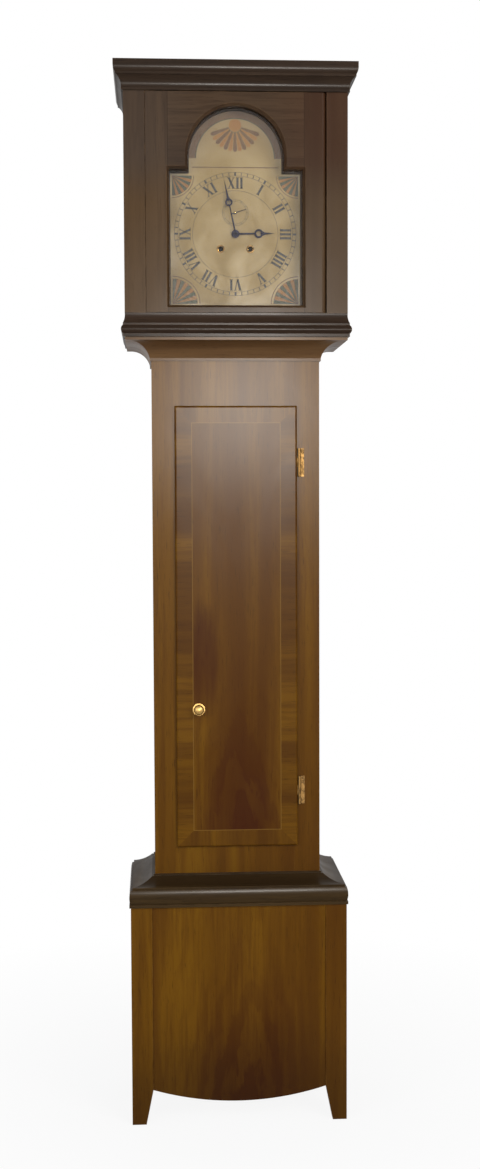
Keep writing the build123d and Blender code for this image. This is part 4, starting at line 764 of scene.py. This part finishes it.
def chapter_ring():
    centre = (0, DIAL_Z)
    lines = ring(centre, CHAPTER_OUTER - 0.0006, CHAPTER_OUTER)
    lines += ring(centre, MINUTE_INNER - 0.0006, MINUTE_INNER)
    lines += ring(centre, CHAPTER_INNER - 0.0006, CHAPTER_INNER)
    painted("dial_rings", lines, 1, BLACK_INK)
    ticks = []
    for minute in range(60):
        half = 0.9 if minute % 5 == 0 else 0.32
        ticks += ring(centre, MINUTE_INNER, CHAPTER_OUTER - 0.0006, 6 * minute - half, 6 * minute + half, 1)
    painted("dial_minutes", ticks, 2, BLACK_INK)
    figures = []
    for hour, text in enumerate(["XII", "I", "II", "III", "IIII", "V", "VI", "VII", "VIII", "IX", "X", "XI"]):
        figures += numeral(text, hour)
    painted("dial_numerals", figures, 2, BLACK_INK)


def seconds_ring():
    centre = (0, SECONDS_Z)
    marks = ring(centre, 0.0268, 0.0273, steps=72)
    marks += ring(centre, 0.0232, 0.0236, steps=72)
    for second in range(0, 60, 5):
        marks += ring(centre, 0.0236, 0.0268, 6 * second - 0.8, 6 * second + 0.8, 1)
    painted("dial_seconds", marks, 3, BLACK_INK)


def winding_collars():
    collars = []
    for side in (-1, 1):
        collars += ring((side * WINDING, DIAL_Z - WINDING), 0.0058, 0.0082, steps=48)
    painted("winding_collars", collars, 4, DARK_BRASS)


def fan(name, centre, facing, spread, petals, inner, outer, layer, materials):
    """A fan of petals in two colours, opening about a bearing."""
    step = spread / petals
    for group, material in enumerate(materials):
        outlines = []
        for index in range(group, petals, len(materials)):
            bearing = facing - spread / 2 + step * (index + 0.5)
            outlines.append(petal(centre, bearing, step * 0.44, inner, outer))
        painted(f"{name}_{group}", outlines, layer, material)


def corner_fans():
    """A painted fan in each corner, on a brown ground inside a thin line."""
    inset = 0.004
    corners = {
        "low_left": ((-OPENING_HALF + inset, OPENING_BOTTOM + inset), 45, 0.058),
        "low_right": ((OPENING_HALF - inset, OPENING_BOTTOM + inset), -45, 0.058),
        "high_left": ((-OPENING_HALF + inset, OPENING_SHOULDER - inset), 135, 0.046),
        "high_right": ((OPENING_HALF - inset, OPENING_SHOULDER - inset), -135, 0.046),
    }
    for name, (centre, facing, reach) in corners.items():
        start, end = facing - 45, facing + 45
        painted(f"corner_ground_{name}", ring(centre, 0.0, reach * 0.9, start, end, 24), 1, BROWN_INK)
        fan(f"corner_fan_{name}", centre, facing, 90, 9, 0.006, reach * 0.84, 2, (GREEN_INK, OCHRE_INK))
        painted(f"corner_edge_{name}", ring(centre, reach * 0.97, reach, start, end, 24), 1, BROWN_INK)


def arch_painting():
    """A band round the arch, a line across its foot and a fan that hangs from its top."""
    centre = (0, ARCH_CENTRE)
    painted("arch_band", ring(centre, 0.083, 0.1, -90, 90, 72), 1, BROWN_INK)
    painted("arch_line", ring(centre, 0.0815, 0.083, -90, 90, 72), 2, GREEN_INK)
    foot = [(-0.09, 2.0245), (-0.09, 2.0265), (0.09, 2.0265), (0.09, 2.0245)]
    painted("arch_foot", [foot], 1, BROWN_INK)
    fan_centre = (0, 2.112)
    painted("arch_fan_ground", ring(fan_centre, 0.014, 0.03, 105, 255, 30), 1, GREEN_INK)
    fan("arch_fan", fan_centre, 180, 150, 13, 0.015, 0.05, 2, (BROWN_INK, OCHRE_INK))
    painted("arch_fan_heart", ring(fan_centre, 0.0, 0.013, 0, 360, 36), 3, OCHRE_INK)


chapter_ring()
seconds_ring()
winding_collars()
corner_fans()
arch_painting()


# Small fittings

def screw(name, place, facing, radius, material, body, turn=0.0):
    """A countersunk screw head with a domed top and no slot, standing a little proud of what it holds."""
    build = bmesh.new()
    segments = 20
    rings = []
    for share, height in ((1.0, 0.0), (0.97, 0.12), (0.72, 0.26), (0.0, 0.32)):
        if share:
            corners = []
            for i in range(segments):
                angle = 2 * pi * i / segments
                x, y = radius * share * cos(angle), radius * share * sin(angle)
                corners.append(build.verts.new((x, y, radius * height)))
            rings.append(corners)
        else:
            rings.append([build.verts.new((0, 0, radius * height))])
    for lower, upper in zip(rings, rings[1:]):
        for i in range(segments):
            after = (i + 1) % segments
            if len(upper) == 1:
                build.faces.new((lower[i], lower[after], upper[0]))
            else:
                build.faces.new((lower[i], lower[after], upper[after], upper[i]))
    build.faces.new(rings[0][::-1])
    mesh = bpy.data.meshes.new(name)
    build.to_mesh(mesh)
    build.free()
    for polygon in mesh.polygons:
        polygon.use_smooth = True
    mesh.materials.append(material)
    made = bpy.data.objects.new(name, mesh)
    bpy.context.scene.collection.objects.link(made)
    made.matrix_world = (
        Matrix.Translation(place) @ Vector(facing).to_track_quat("Z", "Y").to_matrix().to_4x4()
        @ Matrix.Rotation(turn, 4, "Z")
    )
    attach(made, body)
    return made


def hinge_screws():
    low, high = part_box("trunk_hinge_plates")
    x = high.x - 0.004
    length = 0.060
    face = TRUNK_FRONT - 0.0012
    for number, bottom in enumerate((low.z, high.z - length)):
        for row in range(3):
            z = bottom + length * (0.15 + 0.35 * row)
            name = f"hinge_screw_{number}_{row}"
            turn = 0.7 * row + number
            screw(name, (x, face, z), (0, -1, 0), 0.0021, DARK_BRASS, "case", turn)


hinge_screws()


def line_tube(name, node):
    """A copy of a line's mesh in place of the rigid one, which is hidden."""
    mesh = nodes[node].data.copy()
    mesh.name = name
    made = bpy.data.objects.new(name, mesh)
    bpy.context.scene.collection.objects.link(made)
    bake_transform(made)
    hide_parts(node)


line_tube("going_line_gut", "going_line")
line_tube("strike_line_gut", "strike_line")


# Stage, lights and camera
FLOOR_NEAR = 0.9
FLOOR_HALF = 30


def floor_finish():
    """A white floor that keeps the object's soft shadow near it and fades to plain white further off."""
    made = bpy.data.materials.new("floor_white")
    made.use_nodes = True
    tree = made.node_tree
    tree.nodes.clear()
    diffuse = tree.nodes.new("ShaderNodeBsdfDiffuse")
    diffuse.inputs["Color"].default_value = (0.82, 0.82, 0.82, 1)
    glow = tree.nodes.new("ShaderNodeEmission")
    glow.inputs["Color"].default_value = (1, 1, 1, 1)
    place = tree.nodes.new("ShaderNodeTexCoord")
    distance = tree.nodes.new("ShaderNodeVectorMath")
    distance.operation = "LENGTH"
    tree.links.new(place.outputs["Object"], distance.inputs[0])
    fade = tree.nodes.new("ShaderNodeMapRange")
    fade.inputs["From Min"].default_value = 0.25
    fade.inputs["From Max"].default_value = 1.3
    fade.inputs["To Min"].default_value = FLOOR_NEAR
    fade.inputs["To Max"].default_value = 1.0
    tree.links.new(distance.outputs["Value"], fade.inputs["Value"])
    share = seen_share(tree, fade.outputs["Result"])
    mixed = tree.nodes.new("ShaderNodeMixShader")
    output = tree.nodes.new("ShaderNodeOutputMaterial")
    tree.links.new(share, mixed.inputs[0])
    tree.links.new(diffuse.outputs[0], mixed.inputs[1])
    tree.links.new(glow.outputs[0], mixed.inputs[2])
    tree.links.new(mixed.outputs[0], output.inputs[0])
    return made


def seen_share(tree, amount):
    """An amount for camera, glossy and transmission rays, and 0 for the rest."""
    path = tree.nodes.new("ShaderNodeLightPath")
    first = tree.nodes.new("ShaderNodeMath")
    first.operation = "MAXIMUM"
    tree.links.new(path.outputs["Is Camera Ray"], first.inputs[0])
    tree.links.new(path.outputs["Is Glossy Ray"], first.inputs[1])
    second = tree.nodes.new("ShaderNodeMath")
    second.operation = "MAXIMUM"
    tree.links.new(first.outputs[0], second.inputs[0])
    tree.links.new(path.outputs["Is Transmission Ray"], second.inputs[1])
    scaled = tree.nodes.new("ShaderNodeMath")
    scaled.operation = "MULTIPLY"
    tree.links.new(second.outputs[0], scaled.inputs[0])
    if isinstance(amount, bpy.types.NodeSocket):
        tree.links.new(amount, scaled.inputs[1])
    else:
        scaled.inputs[1].default_value = amount
    return scaled.outputs[0]


def make_floor():
    mesh = bpy.data.meshes.new("floor")
    size = FLOOR_HALF
    corners = [(-size, -size, 0), (size, -size, 0), (size, size, 0), (-size, size, 0)]
    mesh.from_pydata(corners, [], [(0, 1, 2, 3)])
    mesh.materials.append(floor_finish())
    floor = bpy.data.objects.new("floor", mesh)
    bpy.context.scene.collection.objects.link(floor)


def make_world():
    """White where it is seen or mirrored, and a soft grey for the light it sheds."""
    world = bpy.data.worlds.new("studio")
    bpy.context.scene.world = world
    world.use_nodes = True
    tree = world.node_tree
    tree.nodes.clear()
    white = tree.nodes.new("ShaderNodeBackground")
    white.inputs["Color"].default_value = (1, 1, 1, 1)
    white.inputs["Strength"].default_value = 1.0
    ambient = tree.nodes.new("ShaderNodeBackground")
    ambient.inputs["Color"].default_value = (0.93, 0.96, 1.0, 1)
    ambient.inputs["Strength"].default_value = 0.35
    mixed = tree.nodes.new("ShaderNodeMixShader")
    output = tree.nodes.new("ShaderNodeOutputWorld")
    tree.links.new(seen_share(tree, 1.0), mixed.inputs[0])
    tree.links.new(ambient.outputs[0], mixed.inputs[1])
    tree.links.new(white.outputs[0], mixed.inputs[2])
    tree.links.new(mixed.outputs[0], output.inputs[0])


def area_light(name, place, target, size, power, color=(1, 1, 1), gloss_only=False):
    light = bpy.data.lights.new(name, "AREA")
    light.shape = "SQUARE"
    light.size = size
    light.energy = power
    light.color = color
    made = bpy.data.objects.new(name, light)
    bpy.context.scene.collection.objects.link(made)
    made.location = place
    made.rotation_euler = (Vector(target) - Vector(place)).to_track_quat("-Z", "Y").to_euler()
    made.visible_diffuse = not gloss_only


CAMERA_PLACE = Vector((-0.173, -3.165, 1.333))
CAMERA_YAW = radians(-3.33)
CAMERA_PITCH = radians(-3.34)
CAMERA_ROLL = radians(0.24)
FOCAL_LENGTH = 44.9
SENSOR_HEIGHT = 36.0


def make_camera():
    """The camera stands a little left of the clock, at chest height, and looks slightly down."""
    camera = bpy.data.cameras.new("camera")
    camera.sensor_fit = "VERTICAL"
    camera.sensor_height = SENSOR_HEIGHT
    camera.lens = FOCAL_LENGTH
    made = bpy.data.objects.new("camera", camera)
    bpy.context.scene.collection.objects.link(made)
    level = cos(CAMERA_PITCH)
    forward = Vector((-sin(CAMERA_YAW) * level, cos(CAMERA_YAW) * level, sin(CAMERA_PITCH)))
    level_right = Vector((cos(CAMERA_YAW), sin(CAMERA_YAW), 0))
    level_up = level_right.cross(forward)
    right = level_right * cos(CAMERA_ROLL) - level_up * sin(CAMERA_ROLL)
    up = right.cross(forward)
    turn = Matrix((right, up, -forward)).transposed().to_4x4()
    made.matrix_world = Matrix.Translation(CAMERA_PLACE) @ turn
    bpy.context.scene.camera = made


make_floor()
make_world()
area_light("key_right", (2.4, -3.4, 2.9), (0, 0, 1.3), 2.2, 105, (1.0, 0.97, 0.92))
area_light("fill_left", (-2.6, -3.0, 1.9), (0, 0, 1.2), 2.4, 60, (0.93, 0.96, 1.0))
area_light("window", (0.4, -6.0, 1.95), (0, 0, 1.5), 0.75, 460, (1.0, 0.95, 0.88), gloss_only=True)
make_camera()
bpy.context.scene.view_settings.view_transform = "Standard"
